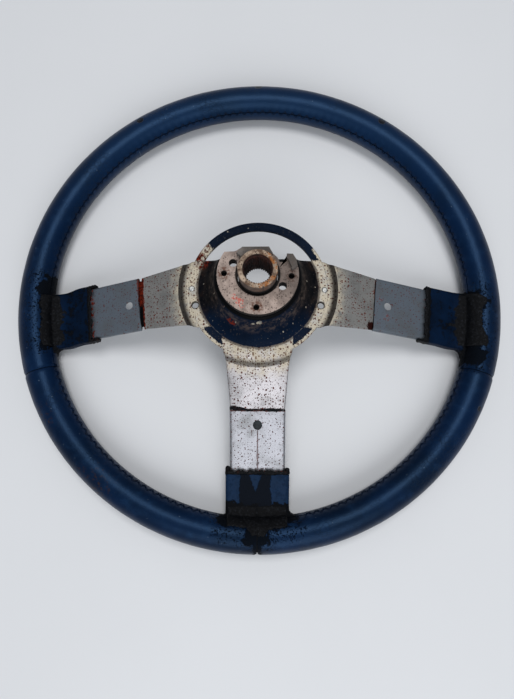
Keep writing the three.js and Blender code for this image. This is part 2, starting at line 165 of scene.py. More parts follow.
class Paint:
    """One procedural material whose patterns come from object coordinates in millimetres."""

    def __init__(self, name, roughness=0.5, metallic=0.0):
        self.material = bpy.data.materials.new(name)
        self.material.use_nodes = True
        self.tree = self.material.node_tree
        self.shader = self.tree.nodes["Principled BSDF"]
        self.shader.inputs["Roughness"].default_value = roughness
        self.shader.inputs["Metallic"].default_value = metallic
        coords = self.node("TexCoord", {})["Object"]
        self.place = self.vector("SCALE", coords, scale=1 / MM)
        self.x, self.y, self.z = self.node("SeparateXYZ", {0: self.place})
        self.radius = self.vector("LENGTH", self.node("CombineXYZ", {0: self.x, 1: self.y})[0])
        self.colour = None

    def put(self, value, socket):
        """Links an output to the socket, or sets a constant on it."""
        if isinstance(value, bpy.types.NodeSocket):
            self.tree.links.new(value, socket)
        else:
            socket.default_value = value

    def node(self, kind, inputs, **settings):
        """The outputs of a new node with these settings and inputs."""
        node = self.tree.nodes.new("ShaderNode" + kind)
        for name, value in settings.items():
            setattr(node, name, value)
        for name, value in inputs.items():
            self.put(value, node.inputs[name])
        return node.outputs

    def vector(self, operation, first, second=(0, 0, 0), scale=1.0):
        inputs = {0: first, 1: second, 3: scale}
        is_number = operation in ("LENGTH", "DISTANCE", "DOT_PRODUCT")
        return self.node("VectorMath", inputs, operation=operation)["Value" if is_number else "Vector"]

    def math(self, operation, first, second=0.0, third=0.0):
        return self.node("Math", {0: first, 1: second, 2: third}, operation=operation)[0]

    def push(self, value, pusher, share):
        """The value moved by a share of the pusher."""
        return self.math("MULTIPLY_ADD", pusher, share, value)

    def size(self, value):
        """The value without its sign."""
        return self.math("ABSOLUTE", value)

    def off(self, mask):
        """1 where the mask is 0, and 0 where it is 1."""
        return self.math("SUBTRACT", 1.0, mask)

    def step(self, value, low, high):
        """0 below low and 1 above high, smooth between; low above high turns it round."""
        start, end = (1.0, 0.0) if low > high else (0.0, 1.0)
        inputs = {"Value": value, "From Min": min(low, high), "From Max": max(low, high)}
        inputs.update({"To Min": start, "To Max": end})
        return self.node("MapRange", inputs, interpolation_type="SMOOTHSTEP")[0]

    def mask(self, value):
        """The value itself, or the step that (value, low, high) stands for."""
        return self.step(*value) if isinstance(value, tuple) else value

    def noise(self, size, detail=4.0, rough=0.55, shift=0.0):
        """Cloudy noise from 0 to 1 with features of about size millimetres."""
        inputs = {"Vector": self.place, "W": shift, "Scale": 1 / size, "Detail": detail, "Roughness": rough}
        return self.node("TexNoise", inputs, noise_dimensions="4D")["Fac"]

    def sway(self, *noise, **more):
        """Noise from -0.5 to 0.5."""
        return self.math("SUBTRACT", self.noise(*noise, **more), 0.5)

    def patchy(self, low, high, *noise, **more):
        """Patches where the noise rises from low to high."""
        return self.step(self.noise(*noise, **more), low, high)

    def cells(self, size, feature="F1"):
        """Distances within cells of that size: from their points, or from their edges."""
        inputs = {"Vector": self.place, "Scale": 1 / size}
        return self.node("TexVoronoi", inputs, feature=feature)["Distance"]

    def specks(self, size, share, soft=0.1, shift=0.0):
        """Specks scattered over the plan, one to a cell of size mm at most and of uneven radius;
        share is the radius of the largest as a part of the cell."""
        moved = self.vector("ADD", self.place, (shift * 13.7, shift * 7.1, 0))
        cell = self.node("TexVoronoi", {"Vector": moved, "Scale": 1 / size}, voronoi_dimensions="2D")
        chance = self.node("SeparateColor", {0: cell["Color"]})[0]
        radius = self.push(-share * 0.5, chance, share * 1.5)
        radius = self.push(radius, self.sway(size * 0.3, shift=shift), share * 0.9)
        return self.step(self.math("SUBTRACT", radius, cell["Distance"]), 0.0, soft)

    def spot(self, centre, reach, soft=0.3, ragged=0.0, size=2.0):
        """A patch around one point, 1 inside reach; ragged moves its edge by that many mm."""
        away = self.vector("DISTANCE", self.place, centre)
        if ragged:
            away = self.push(away, self.sway(size, shift=centre[0]), ragged * 2)
        return self.step(away, reach + soft, reach - soft)

    def along(self, angle):
        """Distances outward along a spoke and across it."""
        cos, sin = polar(1.0, angle)
        outward = self.vector("DOT_PRODUCT", self.place, (cos, sin, 0))
        across = self.vector("DOT_PRODUCT", self.place, (-sin, cos, 0))
        return outward, across

    def all(self, first, *others):
        """The product: a mask where all of them are; each may be a step's (value, low, high)."""
        first = self.mask(first)
        for other in others:
            first = self.math("MULTIPLY", first, self.mask(other))
        return first

    def any(self, first, *others):
        """The largest: a mask where any of them is; each may be a step's (value, low, high)."""
        first = self.mask(first)
        for other in others:
            first = self.math("MAXIMUM", first, self.mask(other))
        return first

    def mix(self, factor, first, second):
        """A blend of two colours, each a socket or a display colour."""
        first, second = (tone(*c) if isinstance(c, tuple) else c for c in (first, second))
        inputs = {"Factor": self.mask(factor), 6: first, 7: second}
        return self.node("Mix", inputs, data_type="RGBA")[2]

    def cover(self, mask, colour, share=1.0):
        """Lays a share of a colour over the ones before it, where the mask says."""
        if share < 1:
            mask = self.all(mask, share)
        self.colour = self.mix(mask, self.colour, colour)

    def blend(self, factor, first, second):
        """A blend of two numbers."""
        return self.node("Mix", {"Factor": self.mask(factor), 2: first, 3: second})[0]

    def base(self, factor, first, second):
        self.colour = self.mix(factor, first, second)

    def finish(self, roughness=None, metallic=None, height=None, depth=0.3, specular=0.5):
        normal = None
        if height is not None:
            normal = self.node("Bump", {"Strength": 1.0, "Distance": depth * MM, "Height": height})[0]
        for name, value in (
            ("Base Color", self.colour), ("Roughness", roughness), ("Metallic", metallic),
            ("Specular IOR Level", specular), ("Normal", normal),
        ):
            if value is not None:
                self.put(value, self.shader.inputs[name])
        return self.material


# ---- materials ----
BLACK = (6, 7, 9)
CRUST_TONE = (9, 11, 15)
NAVY_DARK = (1, 12, 32)
NAVY = (3, 22, 50)
NAVY_WORN = (24, 50, 82)
SILVER_WARM = (150, 149, 146)
SILVER_BLUE = (114, 124, 135)
SILVER_DIM = (106, 108, 108)
# paler silver given to the bottom spoke as painted light
SILVER_LIT = (188, 185, 189)
CREAM = (197, 186, 164)
RUST_RED = (108, 34, 18)
RUST_DARK = (34, 11, 8)
RUST_ORANGE = (112, 54, 24)
CRUST_REACH = {"left": 170.0, "right": 172.2, "bottom": 170.4}
CRUST_SHIFT = {"left": -6.0, "right": -6.0, "bottom": 0.0}
CRUST_SPOTS = (  # angle and distance outward of the grip's centre line, then reach
    ((177.2, -10.5), 6.4), ((-15.0, -6.0), 6.6), ((-0.4, -5.2), 5.0),
    ((269.3, -3.0), 6.0), ((271.5, 1.0), 4.0), ((268.0, 3.0), 3.4),
)


def spoke_crust(paint, more=0.0):
    """Dried black adhesive round each spoke's outer end; more makes it reach that much further."""
    coarse = paint.sway(12, 6, 0.72, 3.1)
    fine = paint.sway(3.0, 5, 0.75, 5.3)
    ragged = paint.push(paint.all(fine, 9), coarse, 24)
    patches = []
    for side, angle in SPOKES.items():
        outward, across = paint.along(angle)
        beyond = CRUST_SHIFT[side]
        width = paint.math("ADD", ragged, paint.size(paint.math("SUBTRACT", across, beyond)))
        narrowing = paint.all(paint.all(across, across), 0.004)
        reach = paint.math("ADD", paint.math("ADD", ragged, outward), narrowing)
        limit = CRUST_REACH[side] + more
        patches.append(paint.all(
            (outward, 120, 130), (width, 30.4 + more * 0.4, 29.6 + more * 0.4),
            (reach, limit + 0.4, limit - 0.4),
        ))
    for centre, reach in CRUST_SPOTS:
        patches.append(paint.spot(rim_point(*centre), reach + more * 0.5, 0.5, 7, 5))
    return paint.any(*patches)


def rim_point(angle, outward):
    """A point on the column side of the grip, outward of its centre line by that much."""
    x, y = polar(RIM_RADIUS + outward, angle)
    return x, y, RIM_Z + math.sqrt(GRIP_RADIUS ** 2 - outward ** 2)


def leather_paint():
    """Worn navy leather with fine cracks, scuffs, small dots and crust by the spokes."""
    paint = Paint("navy_leather")
    broad = paint.noise(38, 3)
    mottled = paint.noise(7, 6, 0.65, 2.0)
    paint.base((broad, 0.32, 0.68), NAVY_DARK, NAVY)
    worn = paint.all((mottled, 0.46, 0.8), 0.45)
    high = paint.step(paint.y, 40, 170)
    worn = paint.math("MAXIMUM", worn, paint.all(high, 0.28))
    paint.cover(worn, NAVY_WORN)
    cracks = paint.cells(3.2, feature="DISTANCE_TO_EDGE")
    worn_area = paint.patchy(0.54, 0.66, 30, 2, shift=8.0)
    crack_mask = paint.all((cracks, 0.05, 0.02), worn_area, 0.5)
    paint.cover(crack_mask, BLACK)
    light_specks = paint.specks(11, 0.04, 0.02, 4.0)
    paint.cover(light_specks, (110, 124, 138), 0.5)
    scuff = paint.all(
        paint.spot(rim_point(229.5, 9), 15, 9, 9, 5), paint.patchy(0.53, 0.6, 2.4, 5, 0.7, 6.0),
    )
    scuff = paint.any(scuff, paint.all(
        paint.spot(rim_point(210, 9), 12, 8, 9, 5), paint.patchy(0.55, 0.62, 2.0, 5, 0.7, 9.0),
    ))
    paint.cover(scuff, (40, 27, 24))
    dots = paint.any(*[
        paint.spot(rim_point(angle, outward), reach, 0.35, 0.5)
        for angle, outward, reach in (
            (56.3, 5.2, 3.0), (90.3, 7.8, 3.0), (122.9, 5.0, 2.9), (-27, 8.5, 2.0),
        )
    ])
    paint.cover(dots, (12, 8, 8))
    grain_noise = paint.noise(1.5, 5, 0.75, 7.7)
    spray = paint.all(spoke_crust(paint, 12.0), (grain_noise, 0.55, 0.6), 0.9)
    crust = paint.any(spoke_crust(paint), spray)
    bottom_out, bottom_across = paint.along(270.0)
    seam_width = paint.push(paint.size(bottom_across), paint.math("SUBTRACT", grain_noise, 0.5), 12)
    seam_black = paint.all((seam_width, 3.4, 2.6), (bottom_out, 160, 165), 0.95)
    crust = paint.any(crust, seam_black)
    paint.cover(crust, CRUST_TONE)
    grain = paint.cells(0.9)
    rough = paint.blend(crust, paint.blend(mottled, 0.33, 0.42), 0.6)
    lumps = paint.noise(1.6, 6, 0.7, 5.0)
    height = paint.push(paint.all(mottled, 0.7), grain, 0.14)
    height = paint.push(height, dots, -1.6)
    height = paint.math("SUBTRACT", height, paint.all(crack_mask, 0.5))
    crusted = paint.push(0.4, lumps, 2.2)
    height = paint.blend(crust, height, crusted)
    paint.shader.inputs["Specular Tint"].default_value = (0.27, 0.54, 1.0, 1.0)
    shine = paint.blend(crust, 0.29, 0.05)
    return paint.finish(roughness=rough, height=height, depth=0.3, specular=shine)


def pad_paint():
    """The navy skin of the pads, blackened at both ends and, at the bottom, in the middle."""
    paint = Paint("navy_pad")
    broad = paint.noise(22, 4, shift=1.0)
    paint.base((broad, 0.35, 0.7), (2, 14, 32), (5, 25, 50))
    lower = paint.step(paint.y, -110, -125)
    paint.cover(lower, (28, 52, 82), 0.5)
    fine = paint.noise(2.2, 6, 0.7, 7.0)
    lumps = paint.noise(1.4, 6, 0.75, 3.0)
    coarse = paint.sway(9, 6, 0.72, 12.0)
    thin = paint.sway(2.4, 5, 0.75, 13.0)
    ragged = paint.push(paint.all(thin, 5), coarse, 20)
    masks = []
    for side, angle in SPOKES.items():
        outward, across = paint.along(angle)
        here = paint.step(outward, 118, 122)
        out = paint.math("ADD", ragged, outward)
        limit = 153.5 if side == "bottom" else 158.5
        outer = paint.step(out, limit, limit + 0.6)
        lip = paint.step(paint.push(outward, coarse, 5), 133.2, 132.7)
        masks.append(paint.all(here, paint.any(outer, lip)))
        if side == "bottom":
            middle = paint.size(paint.math("ADD", across, 1.5))
            wide = paint.push(middle, ragged, 0.35)
            wedge = paint.push(middle, paint.math("SUBTRACT", outward, 132), 0.35)
            bare = paint.step(paint.push(wedge, thin, 3), 4.4, 5.2)
            masks.append(paint.all(here, (wide, 11.8, 11.0), bare, 0.9))
    film = paint.patchy(0.55, 0.58, 10, 7, 0.76, 15.0)
    spatter = paint.all(
        paint.patchy(0.56, 0.62, 1.7, 4, 0.7, 19.0), paint.patchy(0.45, 0.6, 14, 3, shift=21.0),
    )
    film_share = paint.blend(lower, 0.85, 0.25)
    crust = paint.any(paint.all(paint.any(film, spatter), film_share), *masks)
    paint.cover((fine, 0.45, 0.75), (6, 12, 22), 0.3)
    paint.cover(crust, CRUST_TONE)
    rim_end = paint.all((paint.radius, 154, 158), (lumps, 0.55, 0.8), 0.5)
    paint.cover(rim_end, (34, 35, 38))
    height = paint.blend(crust, paint.all(fine, 0.5), paint.push(0.3, lumps, 1.6))
    rough = paint.blend(crust, 0.5, 0.62)
    return paint.finish(roughness=rough, height=height, depth=0.4, specular=0.05)


def crust_paint():
    """Dried adhesive: dull black lumps with a painted highlight of grey on their crests, and rust in the
    lumps near the blades.
    """
    paint = Paint("black_crust", roughness=0.55)
    lumps = paint.noise(1.5, 7, 0.75)
    # painted highlight: the crests of the lumps painted grey
    paint.base((lumps, 0.5, 0.74), (6, 7, 10), (45, 48, 54))
    near_blade = paint.step(paint.radius, 134.5, 131.5)
    mottle = paint.patchy(0.56, 0.62, 3.2, 6, 0.75, 6.0)
    rusty = paint.all(mottle, near_blade, (paint.x, 100, 60), 0.8)
    paint.cover(rusty, RUST_DARK)
    return paint.finish(height=lumps, depth=0.7, specular=0.1)


def rust_specks(paint, share, dust_share):
    """Masks of rust specks of three sizes, and of fine dust."""
    fine = paint.any(paint.specks(2.5, share, 0.05, 1.0), paint.specks(1.8, share * 0.9, 0.06, 11.0))
    bold = paint.specks(4.6, share * 0.5, 0.04, 5.0)
    dust = paint.specks(1.4, dust_share, 0.08, 9.0)
    return paint.any(fine, bold), dust


def silver_finish(paint, base, specks, dust, extra_rust, tint=None, tint_mask=None, metal=0.85):
    """Worn silver paint over steel: brushed tone, specks, dust and rust patches."""
    cloud = paint.noise(16, 5, 0.6, 2.0)
    brushed = paint.noise(0.8, 3, 0.6, 4.0)
    paint.base(paint.all((cloud, 0.4, 0.75), 0.7), base, SILVER_DIM)
    if tint is not None:
        paint.cover(tint_mask, tint)
    rust_tone = paint.mix(paint.noise(3, shift=3.0), RUST_RED, RUST_DARK)
    paint.cover(dust, (74, 56, 48), 0.55)
    paint.cover(specks, rust_tone, 0.92)
    mottle = paint.noise(1.6, 5, 0.7, 8.0)
    rusty = paint.mix((mottle, 0.38, 0.62), RUST_DARK, RUST_RED)
    rusty = paint.mix(paint.all((mottle, 0.62, 0.75), 0.5), rusty, RUST_ORANGE)
    paint.cover(extra_rust, rusty)
    covered = paint.any(paint.all(specks, 0.9), extra_rust)
    if tint_mask is not None:
        covered = paint.any(covered, paint.all(tint_mask, 0.6))
    metallic = paint.all(paint.off(covered), metal)
    rough = paint.blend(covered, paint.blend(cloud, 0.45, 0.5), 0.82)
    height = paint.push(paint.all(brushed, 0.16), specks, 0.7)
    height = paint.push(height, extra_rust, paint.noise(1.1, 6, 0.75))
    shine = paint.blend(paint.any(specks, extra_rust), 0.5, 0.04)
    return rough, metallic, height, shine


def blade_paint():
    """Worn silver, rusty where a blade meets its pad or the hub's arm, and along the fold."""
    paint = Paint("worn_silver_blade")
    specks, dust = rust_specks(paint, 0.22, 0.24)
    ragged = paint.sway(3.4, 6, 0.75, 5.0)
    patches = []
    for side, angle in SPOKES.items():
        outward, across = paint.along(angle)
        if side != "right":
            limit = 127.4 if side == "left" else 130.2
            out = paint.push(outward, ragged, 9)
            blobs = paint.patchy(0.5, 0.54, 2.6, 4, shift=8.2)
            patches.append(paint.all((outward, 80, 84), (out, limit, limit + 0.6), blobs))
        if side == "left":
            upper = paint.step(paint.push(across, ragged, 20), 1, -1)
            rim = paint.step(paint.push(outward, ragged, 3.2), 90.6, 90.1)
            patches.append(paint.all((outward, 80, 84), rim, upper, 0.9))
        if side == "bottom":
            fold = paint.step(paint.size(across), 1.3, 0.5)
            stain = paint.all(fold, (outward, 100, 128), paint.patchy(0.46, 0.62, 3, shift=2.2))
            line = paint.all((paint.size(across), 0.5, 0.3), (outward, 101, 102))
            patches.append(paint.all(paint.any(stain, line), 0.55))
            seam_edge = paint.push(outward, ragged, 2.2)
            patches.append(paint.all((outward, 80, 84), (seam_edge, 88.4, 87.9), 0.9))
    for centre, reach in (((96.5, -17.0, 36.4), 3.4), ((99.5, -7.5, 35.6), 1.6), ((92, -4, 38), 2.2)):
        blob = paint.spot(centre, reach, 0.6, 2.4, 2.0)
        patches.append(paint.all(blob, paint.patchy(0.5, 0.58, 1.6, 5, shift=1.7), 0.8))
    # painted light: the bottom blade's silver is made paler than the side blades'
    pale = paint.all((paint.y, -78, -82), 0.55)
    base = paint.mix(pale, SILVER_BLUE, SILVER_LIT)
    rough, metallic, height, shine = silver_finish(paint, base, specks, dust, paint.any(*patches))
    return paint.finish(rough, metallic, height, depth=0.22, specular=shine)


def pressing_paint():
    """The hub pressing: silver arms, navy dome and ring, chipped and rusty between them."""
    paint = Paint("hub_pressing")
    specks, dust = rust_specks(paint, 0.29, 0.34)
    ragged = paint.sway(4.2, 7, 0.75, 1.0)
    fine_ragged = paint.sway(1.6, 6, 0.75, 3.0)
    on_arm, seam_rust, gap_shades = [], [], []
    for side, angle in SPOKES.items():
        outward, across = paint.along(angle)
        wide = paint.push(paint.size(across), ragged, 5.5)
        on_arm.append(paint.all((outward, 20, 24), (wide, 25.6, 24.9)))
        here = paint.all((outward, 60, 62), (paint.size(across), 26, 24))
        out = paint.push(outward, ragged, 5.0)
        gap_shade = paint.all(here, (outward, 86.2, 86.7))
        if side == "left":
            upper = paint.step(paint.push(across, ragged, 16), 3, -1)
            gap_shades.append(paint.all(gap_shade, paint.off(upper)))
            seam_rust.append(paint.all(here, (out, 84.9, 85.5)))
        elif side == "right":
            corner = paint.spot((84.4, -26.0, 41.2), 4.6, 0.5, 5.0, 2.2)
            line = paint.all(here, (out, 86.0, 86.5), (across, -4, 0), 0.9)
            seam_rust.append(line)
            gap_shades.append(gap_shade)
        else:
            seam_rust.append(paint.all(here, (out, 86.0, 86.5), 0.75))
            gap_shades.append(gap_shade)
    arms = paint.any(*on_arm)
    away = paint.push(paint.radius, ragged, 2.2)
    dome = paint.step(away, 43.9, 43.2)
    ring = paint.all((paint.radius, 43.0, 43.6), paint.off(arms))
    painted = paint.any(dome, ring)

    turn = paint.math("DEGREES", paint.math("ARCTAN2", paint.y, paint.x))
    jagged_turn = paint.push(turn, ragged, 16)
    edge_chip = paint.push(paint.radius, fine_ragged, 4.5)
    bare_left = paint.all(
        (jagged_turn, 137, 138), (paint.radius, 43.6, 44.2),
        paint.patchy(0.36, 0.42, 3.1, 6, 0.75, 14.0),
    )
    bare_right = paint.all((turn, 24, 26), (turn, 38, 36), (edge_chip, 49.0, 49.4))
    lower = paint.step(turn, -20, -24)
    chips = paint.all(lower, (edge_chip, 48.7, 49.0), paint.patchy(0.4, 0.44, 6, 5, 0.7, 9.0))
    small = paint.all(paint.specks(8, 0.09, 0.03, 8.0), (paint.radius, 29, 31), 0.8)
    chip_spots = paint.any(
        paint.spot((1.3, -30.6, 72.5), 1.9, 0.3, 2.0, 1.6),
        paint.spot((-3.2, -31.4, 71.0), 1.2, 0.3, 1.4, 1.6), small,
    )
    chipped = paint.any(bare_left, bare_right, chips, chip_spots)
    painted = paint.all(painted, paint.off(chipped))

    streak = paint.spot((-18.3, -27.1, 64.0), 3.2, 0.8, 3.5, 2.6)
    streak = paint.all(streak, paint.patchy(0.47, 0.55, 1.8, 5, shift=2.7))
    on_ring = paint.all((paint.radius, 42.5, 43.5), (paint.radius, 53, 51.5))
    left_rust = paint.all(
        on_ring, (turn, 134, 142), (turn, 160, 154), paint.patchy(0.52, 0.56, 3.4, 6, 0.75, 4.4),
    )
    upper_rust = paint.all(paint.any(
        paint.spot((-40.5, 19.5, 53), 5.5, 1.5, 4.0, 3.0),
        paint.spot((-44.5, 24.5, 51), 4.0, 1.0, 4.0, 3.0),
    ), paint.patchy(0.46, 0.54, 2.4, 6, 0.7, 7.4))
    # painted shade: a darker brown ring on the arms where they meet the dome's foot
    foot_shade = paint.all(
        (paint.push(paint.radius, ragged, 4), 42.4, 43.4),
        (paint.push(paint.radius, ragged, 4), 45.6, 44.4), arms, 0.75,
    )
    extra_rust = paint.any(*seam_rust, streak, left_rust, upper_rust)

    cream_mask = paint.all(
        (paint.push(paint.radius, ragged, 14), 68, 57), paint.patchy(0.3, 0.62, 5, 6, 0.7, 6.6), 0.85,
    )
    # painted light: the bottom arm's silver is made paler than the side arms'
    pale = paint.all((paint.y, -44, -52), 0.85)
    base = paint.mix(pale, SILVER_WARM, SILVER_LIT)
    rough, metallic, height, shine = silver_finish(
        paint, base, specks, dust, extra_rust, CREAM, cream_mask, metal=0.82,
    )
    bottom_out = paint.along(270.0)[0]
    tan = paint.all((bottom_out, 42, 44), (bottom_out, 62, 56), paint.specks(2.1, 0.42, 0.12, 3.3), 0.8)
    paint.cover(tan, (104, 76, 50))
    # painted shade: a dark band in the groove of the bead across each arm, stronger on the side arms
    beside = paint.step(paint.size(paint.x), 20, 40)
    groove_shade = paint.all(
        (paint.radius, 51.6, 55.6), (paint.radius, 58.3, 57.7), arms, paint.blend(beside, 0.66, 0.95),
    )
    paint.cover(groove_shade, (30, 27, 26))
    paint.cover(foot_shade, (58, 45, 38))

    depth_tone = paint.mix(paint.noise(12, 4, shift=5.5), (3, 12, 27), (6, 24, 46))
    # a black, smudged tone over the upper side of the dome, navy lower down
    ragged_y = paint.push(paint.y, ragged, 16)
    upper_dome = paint.step(ragged_y, -26, -10)
    smudge = paint.noise(6, 6, 0.7, 2.5)
    black_tone = paint.mix((smudge, 0.4, 0.75), (6, 6, 8), (38, 34, 33))
    paint_tone = paint.mix(paint.all(upper_dome, dome, 0.9), depth_tone, black_tone)
    brown = paint.all(dome, upper_dome, paint.patchy(0.46, 0.66, 10, 5, 0.65, 3.8), (away, 35, 42), 0.75)
    paint_tone = paint.mix(brown, paint_tone, (46, 34, 27))
    # a paler band on the dome's shoulder round the flange: dust and a painted highlight
    collar_dust_and_highlight = paint.all(
        (paint.radius, 29.8, 31.2), (paint.radius, 36.5, 32.5),
        paint.patchy(0.44, 0.64, 3.5, 6, 0.7, 16.0), 0.62,
    )
    paint_tone = paint.mix(collar_dust_and_highlight, paint_tone, (92, 80, 74))
    dust_specks = paint.all(paint.specks(2.2, 0.2, 0.06, 6.2), 0.6)
    paint_tone = paint.mix(dust_specks, paint_tone, (70, 64, 60))
    rust_over = paint.any(streak, paint.all(upper_rust, 0.8))
    paint_tone = paint.mix(rust_over, paint_tone, RUST_RED)
    paint.cover(painted, paint_tone)
    paint.cover(corner, RUST_DARK)
    # painted shade: dark rings round the ring's holes and the rivets, where the sheet's edge lies in shadow
    hole_shade = paint.any(
        *[paint.spot((*polar(RING_HOLE_CIRCLE, angle), 50.5), 3.1, 0.25, 0.5) for angle in RING_HOLES],
        *[paint.spot((*polar(RIVET_CIRCLE, angle), 50.5), 2.3, 0.25, 0.5) for angle in RIVETS.values()],
    )
    paint.cover(hole_shade, (26, 22, 20), 0.85)
    # painted shade: black in the gaps at the arms' ends and in a ring on the dome just under the flange
    shade = paint.any(*gap_shades, paint.all((paint.radius, 30.2, 29.4), (paint.z, 72.0, 73.5)))
    paint.cover(shade, BLACK)
    rough = paint.blend(painted, rough, paint.blend(paint.noise(5, shift=4.0), 0.4, 0.62))
    covered = paint.any(painted, shade, tan, groove_shade, corner, hole_shade)
    metallic = paint.all(metallic, paint.off(covered))
    height = paint.push(height, painted, 0.8)
    shine = paint.blend(covered, shine, 0.05)
    return paint.finish(rough, metallic, height, depth=0.24, specular=shine)


def casting_paint():
    """Pitted grey casting with stains round its holes, red daubs, painted shade towards the upper right,
    and painted shade on its side wall and in the recess round the boss.
    """
    paint = Paint("grimy_casting")
    cloud = paint.noise(6, 6, 0.65)
    fine = paint.noise(1.0, 6, 0.7, 2.0)
    paint.base((cloud, 0.35, 0.65), (136, 121, 113), (178, 160, 150))
    pits = paint.any(paint.specks(1.5, 0.4, 0.12, 2.0), paint.specks(3.1, 0.22, 0.08, 7.0))
    paint.cover(pits, (44, 33, 30), 0.72)
    pale = paint.specks(2.6, 0.2, 0.1, 12.0)
    paint.cover(pale, (188, 172, 156), 0.6)
    around_holes = paint.any(*[paint.spot(
        (*polar(TAPPED_CIRCLE, angle), FLANGE_HIGH), 4.2, 0.7, 2.2, 1.8,
    ) for angle in TAPPED_ANGLES])
    stains = paint.all(around_holes, paint.patchy(0.44, 0.56, 1.7, 5, 0.7, 5.0))
    paint.cover(stains, (92, 54, 36), 0.8)
    top = paint.step(paint.z, FLANGE_HIGH + 0.6, FLANGE_HIGH + 1.4)
    grey = paint.mix(cloud, (66, 66, 66), (112, 110, 106))
    paint.cover(top, grey, 0.8)
    rusty = paint.patchy(0.6, 0.68, 5, 6, 0.7, 11.0)
    paint.cover(rusty, (102, 68, 46), 0.6)
    daubs = paint.any(
        paint.spot((-15.8, -15.6, 82.8), 1.9, 0.3, 2.6, 1.8),
        paint.spot((-12.0, -19.3, 82.8), 2.6, 0.3, 3.2, 1.8),
        paint.spot((-10.2, -22.2, 82.8), 1.5, 0.3, 2.2, 1.8),
    )
    daubs = paint.all(daubs, paint.patchy(0.46, 0.54, 1.3, 4, shift=1.4))
    paint.cover(daubs, (190, 74, 58), 0.7)
    # painted shade: the casting darkened towards the upper right
    upper_right_shade = paint.step(paint.push(paint.x, paint.y, 0.7), -4, 18)
    paint.cover(upper_right_shade, (62, 54, 50), 0.62)
    # painted shade: near-black on the flange's side wall and in the recess round the boss
    side = paint.step(paint.z, FLANGE_HIGH - 0.4, FLANGE_HIGH - 0.9)
    groove_shade = paint.step(paint.radius, 15.5, 14.8)
    painted_shade = paint.any(paint.all(side, 0.96), paint.all(groove_shade, 0.95))
    paint.cover(painted_shade, (13, 12, 13))
    rough = paint.blend(cloud, 0.62, 0.85)
    return paint.finish(roughness=rough, height=fine, depth=0.5, specular=0.3)


def boss_paint():
    """Pitted, rusty boss: orange to the right, its outer wall darkened by grime and painted shade, a
    painted shadow at its foot, and dark in its bore.
    """
    paint = Paint("rusty_boss")
    cloud = paint.noise(4.5, 6, 0.7)
    fine = paint.noise(1.1, 6, 0.75, 3.0)
    paint.base((cloud, 0.38, 0.6), (184, 164, 144), (100, 79, 64))
    across = paint.push(paint.x, paint.y, -0.4)
    orange = paint.all(paint.patchy(0.47, 0.56, 3.2, 6, 0.7, 5.0), (across, -3, 6))
    paint.cover(orange, (150, 88, 30), 0.9)
    pits = paint.any(paint.specks(1.4, 0.42, 0.1, 3.0), paint.specks(2.7, 0.26, 0.08, 6.0))
    paint.cover(pits, (48, 28, 20), 0.8)
    wall = paint.step(paint.z, BOSS_HIGH - 0.7, BOSS_HIGH - 1.6)
    # the outer wall below the top darkened: grime and painted shade
    wall_grime_and_shade = paint.all(wall, (paint.radius, 12.4, 12.9))
    paint.cover(wall_grime_and_shade, (74, 66, 64), 0.8)
    # painted shadow: near-black at the foot of the outer wall
    low = paint.all(wall_grime_and_shade, (paint.push(paint.z, cloud, 4), 89.5, 86.5))
    paint.cover(low, (14, 12, 13))
    inside = paint.all((paint.radius, 10.3, 9.9), wall)
    bore_tone = paint.mix((cloud, 0.4, 0.6), (24, 11, 11), (62, 32, 24))
    paint.cover(inside, bore_tone)
    return paint.finish(roughness=0.8, height=fine, depth=0.6, specular=0.3)


def simple_paint(name, first, second, size, roughness, metallic=0.0, specular=0.3):
    paint = Paint(name, roughness, metallic)
    cloud = paint.noise(size, 6, 0.65)
    paint.base((cloud, 0.35, 0.65), first, second)
    fine = paint.noise(size * 0.3, 5, 0.7, 2.0)
    return paint.finish(height=fine, depth=0.15, specular=specular)


LEATHER = leather_paint()
PAD = pad_paint()
CRUST = crust_paint()
BLADE = blade_paint()
PRESSING_SKIN = pressing_paint()
CASTING = casting_paint()
BOSS = boss_paint()
THREAD = simple_paint("lacing_thread", (4, 12, 28), (16, 32, 56), 1.5, 0.8, specular=0.15)
FOAM = simple_paint("grip_foam", (12, 12, 14), (24, 24, 26), 3, 0.9, specular=0.15)
HOOP = simple_paint("hoop_steel", (96, 96, 96), (130, 128, 124), 5, 0.5, 0.9)
RIVET = simple_paint("dull_rivet", (150, 152, 152), (190, 190, 186), 2, 0.45, 0.8, specular=0.5)
PLUG = simple_paint("black_plug", (12, 17, 20), (34, 42, 46), 4, 0.6)


# ---- mesh helpers ----
def add_mesh(name, verts, faces, material, sharp=38):
    """A mesh object from points in millimetres; edges sharper than that many degrees stay crisp."""
    mesh = bpy.data.meshes.new(name)
    mesh.from_pydata([Vector(v) * MM for v in verts], [], faces)
    return add_object(name, mesh, material, sharp)


def set_material(mesh, material):
    mesh.materials.clear()
    mesh.materials.append(material)


def add_object(name, mesh, material, sharp=38):
    work = bmesh.new()
    work.from_mesh(mesh)
    bmesh.ops.recalc_face_normals(work, faces=work.faces)
    work.to_mesh(mesh)
    work.free()
    crisp(mesh, sharp)
    if material:
        set_material(mesh, material)
    piece = bpy.data.objects.new(name, mesh)
    bpy.context.scene.collection.objects.link(piece)
    return piece


def applied(piece):
    """Bakes a piece's modifiers into its mesh."""
    mesh = bpy.data.meshes.new_from_object(piece.evaluated_get(bpy.context.evaluated_depsgraph_get()))
    piece.modifiers.clear()
    piece.data = mesh


def crisp(mesh, sharp=38):
    """Smooth shading, with crisp edges where faces meet at more than that many degrees."""
    mesh.shade_smooth()
    mesh.set_sharp_from_angle(angle=math.radians(sharp))


